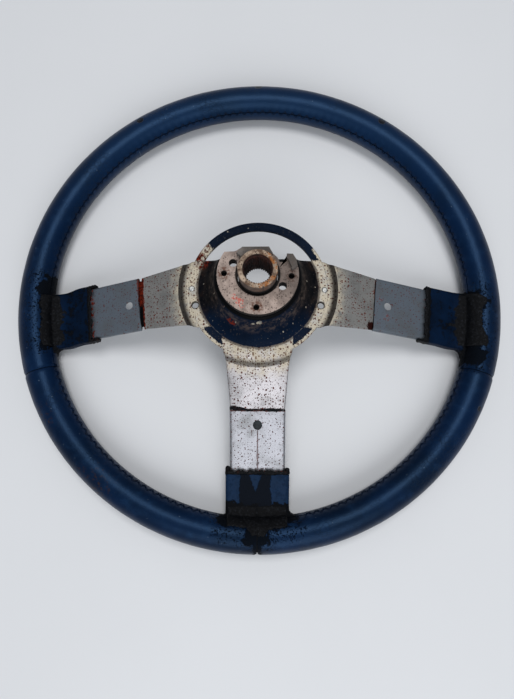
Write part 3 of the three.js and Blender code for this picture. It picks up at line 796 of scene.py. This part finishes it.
def boolean(piece, tools, operation="DIFFERENCE", sharp=38):
    for tool in tools:
        change = piece.modifiers.new("boolean", "BOOLEAN")
        change.operation = operation
        change.solver = "MANIFOLD"
        change.object = tool
        applied(piece)
        bpy.data.objects.remove(tool)
    crisp(piece.data, sharp)
    return piece


def rounded(piece, width, angle):
    """Rounds the edges that are sharper than that many degrees."""
    change = piece.modifiers.new("bevel", "BEVEL")
    change.width = width * MM
    change.segments = 2
    change.limit_method = "ANGLE"
    change.angle_limit = math.radians(angle)
    applied(piece)
    crisp(piece.data)


def ring_faces(rows, count, closed=True):
    """Quads between rows of count points; closed joins the last row to the first."""
    faces = []
    for i in range(rows if closed else rows - 1):
        k = (i + 1) % rows
        for j in range(count):
            n = (j + 1) % count
            faces.append((i * count + j, i * count + n, k * count + n, k * count + j))
    return faces


def revolve(name, profile, steps, material, sharp=38, centre=(0, 0)):
    """A closed profile of (radius, z) turned about an upright axis; a radius may vary with the turn."""
    verts = []
    for i in range(steps):
        turn = 360 * i / steps
        for r, z in profile:
            x, y = polar(r(turn) if callable(r) else r, turn)
            verts.append((centre[0] + x, centre[1] + y, z))
    return add_mesh(name, verts, ring_faces(steps, len(profile)), material, sharp)


def prism(name, outline, low, high, material=None):
    count = len(outline)
    verts = [(x, y, low) for x, y in outline] + [(x, y, high) for x, y in outline]
    faces = [tuple(range(count))[::-1], tuple(range(count, 2 * count))]
    faces += [(i, (i + 1) % count, count + (i + 1) % count, count + i) for i in range(count)]
    return add_mesh(name, verts, faces, material)


def upright(radius, centre, low, high, steps=40):
    outline = []
    for i in range(steps):
        x, y = polar(radius, 360 * i / steps)
        outline.append((centre[0] + x, centre[1] + y))
    return prism("tool", outline, low, high)


def loft(name, rows, material, sharp=38):
    """A closed bar through rows of points, capped at both ends."""
    count = len(rows[0])
    verts = [point for row in rows for point in row]
    faces = ring_faces(len(rows), count, closed=False)
    faces.append(tuple(range(count)))
    faces.append(tuple((len(rows) - 1) * count + i for i in range(count))[::-1])
    return add_mesh(name, verts, faces, material, sharp)


def turned(point, angle):
    """From a spoke's own axes, outward and across, to the wheel's."""
    u, w, z = point
    cos, sin = polar(1.0, angle)
    return u * cos - w * sin, u * sin + w * cos, z


def round_section(half_width, half_height, corner, steps=4, across=10):
    """Points round a rectangle with rounded corners, dense enough across to follow a curve."""
    points = []
    for w, t, first in ((1, 1, 0), (-1, 1, 90), (-1, -1, 180), (1, -1, 270)):
        for i in range(steps + 1):
            dw, dt = polar(corner, first + 90 * i / steps)
            points.append((w * (half_width - corner) + dw, t * (half_height - corner) + dt))
        if first in (0, 180):
            span = half_width - corner
            for i in range(1, across):
                points.append((w * span * (1 - 2 * i / across), t * half_height))
    return points


def replace(piece, slot, *nodes):
    """Rides a piece on the wheel, in place of the CAD nodes that it stands for."""
    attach(piece, "root")
    if nodes:
        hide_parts(*nodes)
    return piece


# ---- rim ----
def grip_point(theta, phi, radius):
    """A point on the grip; phi is measured from the inward side towards the column side."""
    inward, up = polar(radius, phi)
    x, y = polar(RIM_RADIUS - inward, theta)
    return x, y, RIM_Z + up


def leather_arc(name, start, end):
    steps = int((end - start) / LEATHER_ROW)
    outer = LEATHER_STEPS
    phis = [LACING_ANGLE + LACING_HALF + (360 - 2 * LACING_HALF) * i / outer for i in range(outer + 1)]
    rows = []
    for i in range(steps + 1):
        theta = start + (end - start) * i / steps
        from_end = min(theta - start, end - theta) * math.radians(RIM_RADIUS)
        rolled = 0.55 * (1 - smooth_step(0, 1.6, from_end))
        row = []
        for j, phi in enumerate(phis):
            from_lacing = min(j, outer - j)
            pucker = 0.0
            if from_lacing <= 4:
                beat = math.cos(2 * math.pi * theta / STITCH_ANGLE)
                pucker = (0.28 + 0.2 * beat) * (1 - from_lacing / 5)
            x, y, z = grip_point(theta, phi, GRIP_RADIUS)
            swell = 0.10 * wobble(x * 0.06, y * 0.06, z * 0.06)
            swell += 0.05 * wobble(x * 0.21, y * 0.21, z * 0.21)
            radius = GRIP_RADIUS - 0.12 - rolled - pucker + swell
            row.append(grip_point(theta, phi, radius))
        for j in range(LEATHER_INNER_STEPS + 1):
            phi = phis[-1] - (phis[-1] - phis[0]) * j / LEATHER_INNER_STEPS
            row.append(grip_point(theta, phi, GRIP_RADIUS - LEATHER_THICKNESS))
        rows.append(row)
    return loft(name, rows, LEATHER, sharp=55)


RIM_ARCS = (
    ("upper", SEAM_ANGLES[2] - 360, SEAM_ANGLES[0]), ("lower_left", SEAM_ANGLES[0], SEAM_ANGLES[1]),
    ("lower_right", SEAM_ANGLES[1], SEAM_ANGLES[2]),
)
for label, first, last in RIM_ARCS:
    skin = leather_arc(f"leather_{label}", first + SEAM_HALF, last - SEAM_HALF)
    replace(skin, "leather", f"rim_leather_{label}")


def lacing(name, start, end):
    """Cross stitches of one thread that runs from edge to edge of the leather."""
    verts, faces = [], []
    sides, stations = 6, 7
    count = int((end - start) / STITCH_ANGLE)
    for i in range(count * 2):
        theta = start + STITCH_ANGLE * i / 2
        flip = 1 if i % 2 else -1
        first = len(verts)
        for s in range(stations):
            t = s / (stations - 1)
            phi = LACING_ANGLE + flip * STITCH_REACH * (2 * t - 1)
            lift = 0.1 + 0.2 * math.sin(math.pi * t) - 1.0 * (abs(2 * t - 1) ** 6)
            middle = Vector(grip_point(theta + STITCH_ANGLE / 2 * t, phi, GRIP_RADIUS + lift - 0.15))
            inward = Vector((*polar(1.0, theta), 0))
            for k in range(sides):
                a, b = polar(THREAD_RADIUS, 360 * k / sides)
                tangent = Vector((-inward.y, inward.x, 0))
                normal = Vector(grip_point(theta, phi, 1.0)) - Vector(grip_point(theta, phi, 0.0))
                verts.append(middle + tangent * a + normal * b)
        for s in range(stations - 1):
            for k in range(sides):
                n = (k + 1) % sides
                p = first + s * sides
                faces.append((p + k, p + n, p + sides + n, p + sides + k))
        faces.append(tuple(first + k for k in range(sides))[::-1])
        faces.append(tuple(first + (stations - 1) * sides + k for k in range(sides)))
    return add_mesh(name, verts, faces, THREAD, sharp=60)


LACED = (
    ("upper", SPOKES["right"] + LACING_REACH, SPOKES["left"] - LACING_REACH),
    ("lower_left", SPOKES["left"] + LACING_REACH, 270 - LACING_REACH),
    ("lower_right", 270 + LACING_REACH, SPOKES["right"] + 360 - LACING_REACH),
)
for label, first, last in LACED:
    replace(lacing(f"lacing_{label}", first, last), "thread", f"seam_thread_{label}")


# ---- spokes ----
def blade_row(u, half_width, top_drop, thickness, corner):
    middle = softened(BLADE_TOP, u, 1.6) - top_drop - thickness / 2
    return [(w, middle + t) for w, t in round_section(half_width, thickness / 2, corner)]


def blade_holes(side, centre):
    """Cutters for a blade's hole; at the sides the lower sheet is opened wider."""
    if side == "bottom":
        return [upright(PLUG_HOLE_RADIUS, centre, 15, 60)]
    under = height_at(BLADE_TOP, BLADE_HOLE + BLADE_CLEARANCE) - BLADE_SHEET
    return [upright(BLADE_HOLE_RADIUS, centre, 15, 60), upright(BLADE_CLEARANCE, centre, 15, under)]


def blade(side, angle):
    start, tear = BLADE_STARTS[side], BLADE_TEARS[side]
    stations = [start + 0.4 * i for i in range(BLADE_TEAR_ROWS)]
    while stations[-1] < BLADE_END:
        stations.append(stations[-1] + 1.5)
    rows = []
    for i, u in enumerate(stations):
        fade = max(0.0, 1 - i / BLADE_TEAR_ROWS)
        row = []
        for w, z in blade_row(u, BLADE_HALF_WIDTH, 0, BLADE_HEIGHT, 1.9):
            torn = wobble(w * 0.21, z * 0.05, start) * 1.4 + wobble(w * 0.9, 3, start) * 0.6
            ripple = tear * fade * torn
            row.append(turned((u + ripple, w, z), angle))
        rows.append(row)
    body = loft(f"blade_{side}", rows, BLADE, sharp=42)
    hollow = []
    for u in [start - 4 + 2 * i for i in range(48)]:
        inner = blade_row(
            u, BLADE_HALF_WIDTH - BLADE_SHEET, BLADE_SHEET, BLADE_HEIGHT - 2 * BLADE_SHEET, 0.9,
        )
        hollow.append([turned((u, w, z), angle) for w, z in inner])
    tools = [loft("tool", hollow, BLADE)]
    tools += blade_holes(side, turned((BLADE_HOLE, 0, 0), angle)[:2])
    if side == "bottom":
        high, low = [], []
        for u, w in ((BLADE_HOLE, -1), (170, -1), (170, 1), (BLADE_HOLE, 1)):
            high.append(turned((u, w * BLADE_SLIT, 60), angle))
            low.append(turned((u, w * BLADE_SLIT, height_at(BLADE_TOP, u) - 0.9), angle))
        faces = [(0, 1, 2, 3), (7, 6, 5, 4), (0, 4, 5, 1), (1, 5, 6, 2), (2, 6, 7, 3), (3, 7, 4, 0)]
        tools.append(add_mesh("tool", high + low, faces, BLADE))
    return boolean(body, tools, sharp=42)


def pad_reach(edge, u):
    """How far a pad reaches to one side of its spoke, with the fillet that meets the rim."""
    inner, outer, fillet = edge
    width = inner + (outer - inner) * smooth_step(PAD_BEND - 14, PAD_BEND, u)
    into = min(1.0, max(0.0, (u - PAD_RIM + fillet) / fillet))
    return width + fillet * (1 - math.sqrt(1 - into ** 2))


def pad_top(u):
    rise = PAD_SLOPE * max(0.0, PAD_BEND - u)
    return PAD_HIGH + rise + 0.35 * math.exp(-((u - PAD_BEND) / 2.5) ** 2)


def pad(side, angle):
    start = PAD_STARTS[side]
    minus, plus = PAD_EDGES[side]
    rows = []
    u = start
    while u < 172:
        left, right = pad_reach(minus, u), pad_reach(plus, u)
        nose = 1.1 * (1 - smooth_step(0, 2.2, u - start))
        crown = 0.35 * math.sin(math.pi * min(1.0, (u - start) / 26))
        half_height = (PAD_HIGH - PAD_LOW) / 2 - nose + crown / 2
        middle = pad_top(u) - (PAD_HIGH - PAD_LOW) / 2 + crown / 2
        row = []
        for w, t in round_section((left + right) / 2 - nose * 0.5, half_height, 2.8, steps=5, across=24):
            place = w + (right - left) / 2
            lump = 0.16 * wobble(u * 0.14, place * 0.14, t * 0.1 + angle)
            lump += 0.09 * wobble(u * 0.5, place * 0.5, angle)
            row.append(turned((u, place, middle + t + lump * (1 if t > 0 else 0.4)), angle))
        rows.append(row)
        u += 0.5 if u < start + 3 or u > PAD_RIM - 7 else 1.0
    body = loft(f"pad_{side}", rows, PAD, sharp=50)
    profile = []
    for step in range(48):
        inward, up = polar(GRIP_RADIUS - 0.9, 360 * step / 48)
        profile.append((RIM_RADIUS - inward, RIM_Z + up))
    tools = [revolve("tool", profile, 240, PAD)]
    slot = []
    for v in [start - 6 + 2 * i for i in range(27)]:
        wide = blade_row(v, BLADE_HALF_WIDTH + 0.45, -0.5, BLADE_HEIGHT + 1.0, 2.2)
        slot.append([turned((v, w, z), angle) for w, z in wide])
    tools.append(loft("tool", slot, PAD))
    return boolean(body, tools, sharp=50)


WRAP_INNER = {  # where the wrap begins along the spoke, for places across it
    "left": (
        (-24, 156), (-10, 156), (-7, 151.5), (-2, 149.8), (3, 150.5), (5.5, 156.5), (9.6, 156),
        (10.6, 148.5), (11.6, 148.5), (12.8, 152.5), (17, 151.7), (20, 155.5), (24, 156.5),
    ),
    "right": (
        (-24, 158), (-20, 157.4), (-13, 154.5), (-7.6, 151.5), (-5.4, 148.6), (-0.5, 149.6),
        (5.4, 150), (9.3, 153.5), (12, 156.3), (24, 156.5),
    ),
    "bottom": ((-24, 155.6), (24, 155.2)),
}
WRAP_OUTER = {"left": ((-24, 167.6), (-12, 169.8), (0, 168.6), (12, 169.8), (24, 167.6)), "right": (
    (-24, 174.5), (-18, 176.5), (-13, 176), (-5, 172.5), (8, 172), (12, 175), (17, 175), (21, 168),
), "bottom": ((-24, 168.6), (-8, 170), (-4, 175), (5, 176), (9, 171), (24, 169))}
WRAP_RAGGED = {"left": 1.1, "right": 1.2, "bottom": 0.3}


def wrapped_height(u, w):
    """The pad's top where it runs up on to the grip, with a soft hollow between them."""
    inward = RIM_RADIUS - math.hypot(u, w)
    low = PAD_HIGH + PAD_SLOPE * max(0.0, PAD_BEND - u)
    grip = RIM_Z + math.sqrt(max(0.0, GRIP_RADIUS ** 2 - inward ** 2)) - 8 * max(0.0, inward - GRIP_RADIUS)
    blend = 13.0
    near = max(0.0, blend - abs(low - grip)) / blend
    return max(low, grip) + near * near * blend / 4


def wrap(side, angle):
    """The black skin of adhesive from the end of the pad up the inner side of the grip."""
    minus, plus = PAD_EDGES[side]
    left, right = minus[1] - 1.7, plus[1] - 1.7
    count, steps = 64, 36
    upper, lower = [], []
    for i in range(steps + 1):
        s = i / steps
        for j in range(count + 1):
            w = -left + (left + right) * j / count
            begin = height_at(WRAP_INNER[side], w) + WRAP_RAGGED[side] * wobble(w * 0.8, 2.0, angle)
            end = height_at(WRAP_OUTER[side], w) + 1.6 * wobble(w * 0.45, 4.0, angle)
            u = begin + (end - begin) * s
            edge = min(s, 1 - s) * (end - begin)
            side_edge = min(j, count - j) * (left + right) / count
            lift = 0.75 * smooth_step(0, 0.9, min(edge, side_edge)) - 0.4
            lump = 0.45 * wobble(u * 0.3, w * 0.3, 5.0) + 0.2 * wobble(u * 1.1, w * 1.1, 6.0)
            crease = 0.5 * math.exp(-(((w + 0.4) / 0.7) ** 2)) if side == "bottom" else 0.0
            height = wrapped_height(u, w) + lift + lump - crease
            upper.append(turned((u, w, height), angle))
            lower.append(turned((u, w, wrapped_height(u, w) - 1.1), angle))
    row = count + 1
    total = row * (steps + 1)
    faces = []
    for i in range(steps):
        for j in range(count):
            a, b = i * row + j, (i + 1) * row + j
            faces.append((a, b, b + 1, a + 1))
            faces.append((total + a, total + a + 1, total + b + 1, total + b))
    for j in range(count):
        faces.append((j, j + 1, total + j + 1, total + j))
        last_row = steps * row + j
        faces.append((last_row, total + last_row, total + last_row + 1, last_row + 1))
    for i in range(steps):
        a, b = i * row, (i + 1) * row
        faces.append((a, total + a, total + b, b))
        faces.append((a + count, b + count, total + b + count, total + a + count))
    return add_mesh(f"wrap_{side}", upper + lower, faces, CRUST, sharp=70)


LIP_REACH = {"left": 1.15, "right": 1.7, "bottom": 1.25}
CORNER_TABS = (  # spoke, which edge, length towards the hub
    ("left", -1, 6.4), ("left", 1, 7.4), ("right", -1, 7.4),
    ("right", 1, 2.6), ("bottom", -1, 4.8), ("bottom", 1, 3.6),
)


def pad_lip(side, angle):
    """The lumpy black edge of the pad, where the skin was turned in round the blade."""
    start = PAD_STARTS[side]
    minus, plus = PAD_EDGES[side]
    half = (minus[0] + plus[0]) / 2
    shift = (plus[0] - minus[0]) / 2
    verts = []
    sides = 10
    middle = pad_top(start) - (PAD_HIGH - PAD_LOW) / 2
    path = []
    for w, t in round_section(half - 0.4, (PAD_HIGH - PAD_LOW) / 2 - 0.6, 2.6, steps=4, across=34):
        path.append((w + shift, middle + t))
    for i, (w, z) in enumerate(path):
        reach = 1.0 + 0.8 * wobble(w * 0.33, z * 0.33, angle) + 0.6 * wobble(w * 1.1, z * 1.1, 4)
        reach = LIP_REACH[side] * max(0.6, reach)
        inward = 1.3 * wobble(w * 0.22, z * 0.2, angle + 7)
        before, after = path[i - 1], path[(i + 1) % len(path)]
        along = Vector((after[0] - before[0], after[1] - before[1])).normalized()
        out = Vector((along.y, -along.x))
        for k in range(sides):
            a, b = polar(1.0, 360 * k / sides)
            spread = reach * 1.5 if a < 0 else reach * 0.8
            drop = 0.38 * (a * spread)
            u = start + 0.4 + a * spread + inward * 0.6
            point = (u, w + out.x * b * 0.8, z + out.y * b * 0.8 - drop)
            verts.append(turned(point, angle))
    faces = ring_faces(len(path), sides)
    return add_mesh(f"pad_lip_{side}", verts, faces, CRUST, sharp=70)


def corner_tab(side, edge, length):
    """A lump of the turned-in skin that runs on towards the hub beside the blade."""
    angle, start = SPOKES[side], PAD_STARTS[side]
    outer = PAD_EDGES[side][0 if edge < 0 else 1][0]
    inner = BLADE_HALF_WIDTH + 0.1
    rows = []
    steps = 14
    for i in range(steps + 1):
        s = i / steps
        u = start + 1.0 - (length + 1.0) * s
        size = math.sqrt(max(0.02, 1 - smooth_step(0.8, 1.05, s)))
        size *= 1 + 0.22 * wobble(u * 0.8, edge, length)
        half = (outer - inner) / 2 * min(1.1, size)
        top = height_at(BLADE_TOP, u) + 1.4
        height = 3.9 * min(1.05, size)
        row = []
        for w, t in round_section(half, height, 0.9, steps=3, across=4):
            lump = 0.25 * wobble(u * 1.3, w * 1.3, t * 1.3)
            row.append(turned((u, edge * (inner + outer) / 2 + w + lump, top - 3.9 + t + lump), angle))
        rows.append(row)
    return loft(f"tab_{side}_{'low' if edge < 0 else 'high'}", rows, CRUST, sharp=60)


for label, edge, length in CORNER_TABS:
    replace(corner_tab(label, edge, length), "spoke_pad")
for label, spoke_angle in SPOKES.items():
    replace(blade(label, spoke_angle), "blade_steel", f"spoke_blade_{label}")
    cover = replace(pad(label, spoke_angle), "spoke_pad", f"spoke_pad_{label}")
    replace(pad_lip(label, spoke_angle), "spoke_pad")
    replace(wrap(label, spoke_angle), "spoke_pad")


TEAR_WIDTH = (
    (-20, 1.3), (-15, 1.5), (-9, 0.8), (-3, 0.5), (2, 0.3), (6, 0.9), (12, 1.1), (16, 0.6), (20, 0.3),
)


def seam_tear():
    """Black residue torn across the bottom spoke, where its blade meets the hub's arm."""
    rows = []
    sides, steps = 8, 90
    for i in range(steps + 1):
        w = -20.0 + 40.0 * i / steps
        band = height_at(TEAR_WIDTH, w) + 0.55 * wobble(w * 0.9, 2.0) + 0.3 * wobble(w * 2.4, 1.0)
        band = max(0.18, band)
        u = 87.2 + 0.7 * wobble(w * 0.25, 3.0) - 1.1 * smooth_step(8, 14, -w)
        top = 39.85 + 0.12 * wobble(w * 0.8, 6.0)
        row = []
        for k in range(sides):
            a, b = polar(1.0, 360 * k / sides)
            height = top - (u + a * band - 87.2) * 0.4 + b * 0.45
            row.append(turned((u + a * band, w, height), 270.0))
        rows.append(row)
    return loft("seam_tear_bottom", rows, CRUST, sharp=70)


replace(seam_tear(), "spoke_pad")


def plug():
    top = height_at(BLADE_TOP, BLADE_HOLE)
    slope = (BLADE_TOP[1][1] - BLADE_TOP[0][1]) / (BLADE_TOP[1][0] - BLADE_TOP[0][0])
    profile = (
        (0.0, 0.55), (2.4, 0.5), (3.1, 0.3), (3.4, -0.05), (3.4, -0.6), (2.8, -0.7), (2.8, -6.5),
        (0.0, -6.5),
    )
    steps = 40
    verts = []
    for i in range(steps):
        for r, z in profile:
            a, b = polar(max(r, 0.001), 360 * i / steps)
            verts.append(turned((BLADE_HOLE + a, b, top + z + slope * a), 270.0))
    return add_mesh("plug_bottom", verts, ring_faces(steps, len(profile)), PLUG, sharp=45)


replace(plug(), "plug_rubber", "spoke_plug_bottom")


# ---- hub ----
def pressing_height(radius):
    return softened(HUB_PROFILE, radius, 0.8)


def arm_half_width(u):
    table = ((30, 25.5), (47, 24.6), (49.5, 23.4), (52, 22.8), (56, 22.2), (ARM_END, 19.7))
    return softened(table, u, 1.0)


def arm(side, angle):
    rows = []
    steps = 62
    for i in range(steps + 1):
        u = ARM_START + (ARM_END - ARM_START) * i / steps
        near_end = smooth_step(ARM_END - 1.2, ARM_END, u)
        sink = 0.06 * (1 - smooth_step(50.4, 51.0, u)) + 0.25 * near_end
        row = []
        for w, t in round_section(arm_half_width(u), PRESSING / 2, 0.9, steps=4, across=26):
            ripple = 0.0
            if i == steps:
                ripple = 0.5 * wobble(w * 0.3, angle) + 0.35 * wobble(w * 1.1, angle)
            top = pressing_height(math.hypot(u, w)) - sink
            row.append(turned((u + ripple, w, top - PRESSING / 2 + t), angle))
        rows.append(row)
    return loft(f"arm_{side}", rows, PRESSING_SKIN)


def tongue(angle):
    rows = []
    for i in range(20):
        u = 80 + 2 * i
        blend = smooth_step(84, 92, u)
        under_hub, under_blade = height_at(HUB_PROFILE, u) - 0.4, height_at(BLADE_TOP, u) - 0.9
        top = (1 - blend) * under_hub + blend * under_blade - 0.8
        outline = round_section(TONGUE_HALF_WIDTH, TONGUE_HALF, 0.4)
        rows.append([turned((u, w, top - TONGUE_HALF + t), angle) for w, t in outline])
    return loft("tongue", rows, PRESSING_SKIN)


def spider():
    top = []
    for i in range(56):
        radius = 13.7 + (50.6 - 13.7) * i / 55
        top.append((radius, pressing_height(radius)))
    edge = [(50.9, 51.1), (51.0, 50.7), (51.0, 49.0), (50.9, 48.6), (50.6, 48.5)]
    under = [(max(13.7, r - PRESSING * 0.75 * smooth_step(26, 31, r) * smooth_step(46, 40, r)),
              z - PRESSING * (0.92 if 28 < r < 44 else 1.0)) for r, z in reversed(top)]
    body = revolve("hub_pressing", top + edge + under, 216, PRESSING_SKIN)
    mesh = bpy.data.meshes.new("lean")
    work = bmesh.new()
    bmesh.ops.create_cube(work, size=1.0)
    for vert in work.verts:
        x, y, z = vert.co.x * 140, vert.co.y * 80 + 40, vert.co.z * 200
        cos, sin = polar(1.0, WINDOW_LEAN)
        vert.co = Vector((x, y * cos - z * sin + WINDOW_EDGE[0], y * sin + z * cos + WINDOW_EDGE[1])) * MM
    work.to_mesh(mesh)
    work.free()
    window = boolean(
        add_object("window", mesh, PRESSING_SKIN), [upright(RING_INNER, (0, 0), 20, 100, 216)],
        "INTERSECT",
    )
    boolean(body, [window])
    boolean(body, [arm(side, angle) for side, angle in SPOKES.items()], "UNION")
    boolean(body, [tongue(angle) for angle in SPOKES.values()], "UNION")
    holes = [upright(BIG_HOLE_RADIUS, polar(BIG_HOLE_CIRCLE, angle), 70, 80) for angle in BIG_HOLE_ANGLES]
    holes += [upright(2.35, polar(RING_HOLE_CIRCLE, angle), 40, 60) for angle in RING_HOLES]
    holes += [upright(1.5, polar(RIVET_CIRCLE, angle), 40, 60, 24) for angle in RIVETS.values()]
    for side, angle in SPOKES.items():
        radius = PLUG_HOLE_RADIUS if side == "bottom" else BLADE_CLEARANCE
        holes.append(upright(radius, polar(BLADE_HOLE, angle), 10, 60))
    boolean(body, holes, sharp=40)
    set_material(body.data, PRESSING_SKIN)
    return body


replace(spider(), "hub_paint", "hub_spider")


def rivet(side, angle):
    top = height_at(HUB_PROFILE, RIVET_CIRCLE)
    under = top - PRESSING
    profile = ((0.001, under - 0.9), (1.2, under - 0.8), (1.8, under - 0.5), (2.1, under - 0.05),
               (1.2, under - 0.02), (1.2, top + 0.02), (2.1, top + 0.05), (1.9, top + 0.4),
               (1.3, top + 0.7), (0.6, top + 0.6), (0.001, top + 0.5))
    return revolve(f"rivet_{side}", profile, 28, RIVET, 50, polar(RIVET_CIRCLE, angle))


for label, where in RIVETS.items():
    replace(rivet(label, where), "rivet_steel", f"ring_rivet_{label}")

FLANGE_CORNERS = (
    (-22.6, 15.8), (-15.3, 16.2), (-14.3, 16.8), (-10.8, 19), (7.7, 19.2), (9.2, 15.6), (13, 12),
    (15, 8.6), (17.2, 8.6), (18.8, 11.6), (19.4, 13.2), (23.4, 13), (25.8, 9),
)
BLOCK_CORNERS = (
    (-14.2, 13.2), (-10.4, 17.2), (7.4, 17.4), (10.2, 12.4), (9.4, 10.2), (0, 13.9), (-10, 9.8),
)
LUG_CORNERS = (
    (19.3, 12.9), (23.3, 12.8), (25.6, 9), (26.3, 5), (25.1, 3.4), (22.9, 2), (20.9, 4.9), (19.5, 8.8),
)


def thread_cutter(centre):
    """A tapped hole's cutter, with the ridges of its thread."""
    profile = [(0.001, FLANGE_LOW - 2)]
    z = FLANGE_LOW - 2
    while z < FLANGE_HIGH - 0.5:
        profile += [(2.0, z), (2.3, z + 0.4)]
        z += 0.8
    profile += [(2.6, FLANGE_HIGH + 0.1), (2.6, FLANGE_HIGH + 8), (0.001, FLANGE_HIGH + 8)]
    return revolve("tool", profile, 28, CASTING, centre=centre)


def flange():
    outline = list(FLANGE_CORNERS)[::-1]
    outline += [polar(FLANGE_RADIUS, angle) for angle in range(151, 372, 3)]
    body = prism("flange", outline, FLANGE_LOW, FLANGE_HIGH, CASTING)
    parts = [
        prism("tool", BLOCK_CORNERS[::-1], FLANGE_LOW + 1, BLOCK_HIGH, CASTING),
        prism("tool", LUG_CORNERS[::-1], FLANGE_LOW + 1, LUG_HIGH, CASTING),
    ]
    boolean(body, parts, "UNION")
    boolean(body, [
        upright(FLANGE_BORE, (0, 0), 60, 100, 80),
        upright(FLANGE_RECESS, (0, 0), FLANGE_HIGH - 2.2, 100, 80),
    ])
    slit = [(19.0, 9.4), (20.0, 9.9), (22.6, 3.6), (21.7, 3.1)]
    boolean(body, [prism("tool", slit, FLANGE_HIGH + 0.4, 95)])
    rounded(body, 0.45, 35)
    boolean(
        body,
        [upright(BIG_HOLE_RADIUS, polar(BIG_HOLE_CIRCLE, angle), 60, 100) for angle in BIG_HOLE_ANGLES],
    )
    boolean(body, [thread_cutter(polar(TAPPED_CIRCLE, angle)) for angle in TAPPED_ANGLES])
    return body


replace(flange(), "hub_casting", "hub_flange")


def spline_radius(turn):
    phase = (turn % SPLINE_PITCH) / SPLINE_PITCH
    tooth = abs(2 * phase - 1)
    return SPLINE_RADIUS + SPLINE_DEPTH * smooth_step(0.2, 0.8, tooth)


def boss():
    def chipped(radius, amount):
        def at(turn):
            coarse, fine = wobble(radius, turn * 0.06), wobble(radius, turn * 0.3)
            return radius + amount * coarse + amount * 0.5 * fine
        return at
    profile = [
        (spline_radius, BOSS_LOW), (10.4, BOSS_LOW), (12.2, BOSS_LOW), (12.7, BOSS_LOW + 0.3),
        (BOSS_RADIUS, BOSS_LOW + 1), (BOSS_RADIUS, 80), (BOSS_RADIUS, 92),
        (chipped(13.15, 0.08), BOSS_HIGH - 1.0), (chipped(12.95, 0.12), BOSS_HIGH - 0.4),
        (chipped(12.4, 0.12), BOSS_HIGH - 0.05), (11.6, BOSS_HIGH),
        (chipped(10.6, 0.1), BOSS_HIGH - 0.05), (chipped(10.15, 0.08), BOSS_HIGH - 0.4),
        (9.9, BOSS_HIGH - 1.0), (9.85, BOSS_HIGH - 3.0), (9.55, BOSS_HIGH - 3.3),
        (spline_radius, BOSS_HIGH - 3.5), (spline_radius, 80),
    ]
    return revolve("boss", profile, 360, BOSS, sharp=45)


replace(boss(), "boss_steel", "hub_boss")

for node, material in (("rim_foam", FOAM), ("rim_hoop", HOOP)):
    set_material(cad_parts[node].data, material)

# ---- camera, floor and light ----
camera = bpy.data.objects.new("camera", bpy.data.cameras.new("camera"))
bpy.context.scene.collection.objects.link(camera)
camera.location = Vector(CAMERA_PLACE) * MM
camera.rotation_euler = [math.radians(v) for v in CAMERA_TURN]
camera.data.lens = CAMERA_LENS
camera.data.sensor_width = CAMERA_SENSOR
camera.data.clip_start = 0.01
bpy.context.scene.camera = camera


def floor():
    mesh = bpy.data.meshes.new("floor")
    work = bmesh.new()
    bmesh.ops.create_grid(work, x_segments=8, y_segments=8, size=FLOOR_HALF)
    for vert in work.verts:
        vert.co.z = FLOOR_HEIGHT
    work.to_mesh(mesh)
    work.free()
    plane = bpy.data.objects.new("floor", mesh)
    bpy.context.scene.collection.objects.link(plane)
    paint = Paint("pale_floor", roughness=0.55)
    cloud = paint.noise(180, 4)
    paint.base(cloud, (214, 216, 219), (221, 223, 226))
    mesh.materials.append(paint.finish(specular=0.25))


floor()


def soft_light(name, place, size, power, colour):
    """A round lamp that faces the wheel."""
    lamp = bpy.data.lights.new(name, "AREA")
    lamp.shape = "DISK"
    lamp.size = size
    lamp.energy = power
    lamp.color = colour
    holder = bpy.data.objects.new(name, lamp)
    bpy.context.scene.collection.objects.link(holder)
    holder.location = place
    holder.rotation_euler = (-Vector(place)).to_track_quat("-Z", "Y").to_euler()


soft_light("window_light", (0.15, -1.5, 1.25), 1.6, 19, (0.98, 0.99, 1.0))
soft_light("ceiling_light", (0.1, 0.35, 1.8), 0.8, 14, (1.0, 0.99, 0.98))

world = bpy.data.worlds.new("room")
world.use_nodes = True
sky = world.node_tree.nodes["Background"].inputs
sky["Color"].default_value = (0.9, 0.94, 1.0, 1)
sky["Strength"].default_value = 0.35
bpy.context.scene.world = world
bpy.context.scene.view_settings.view_transform = "Standard"
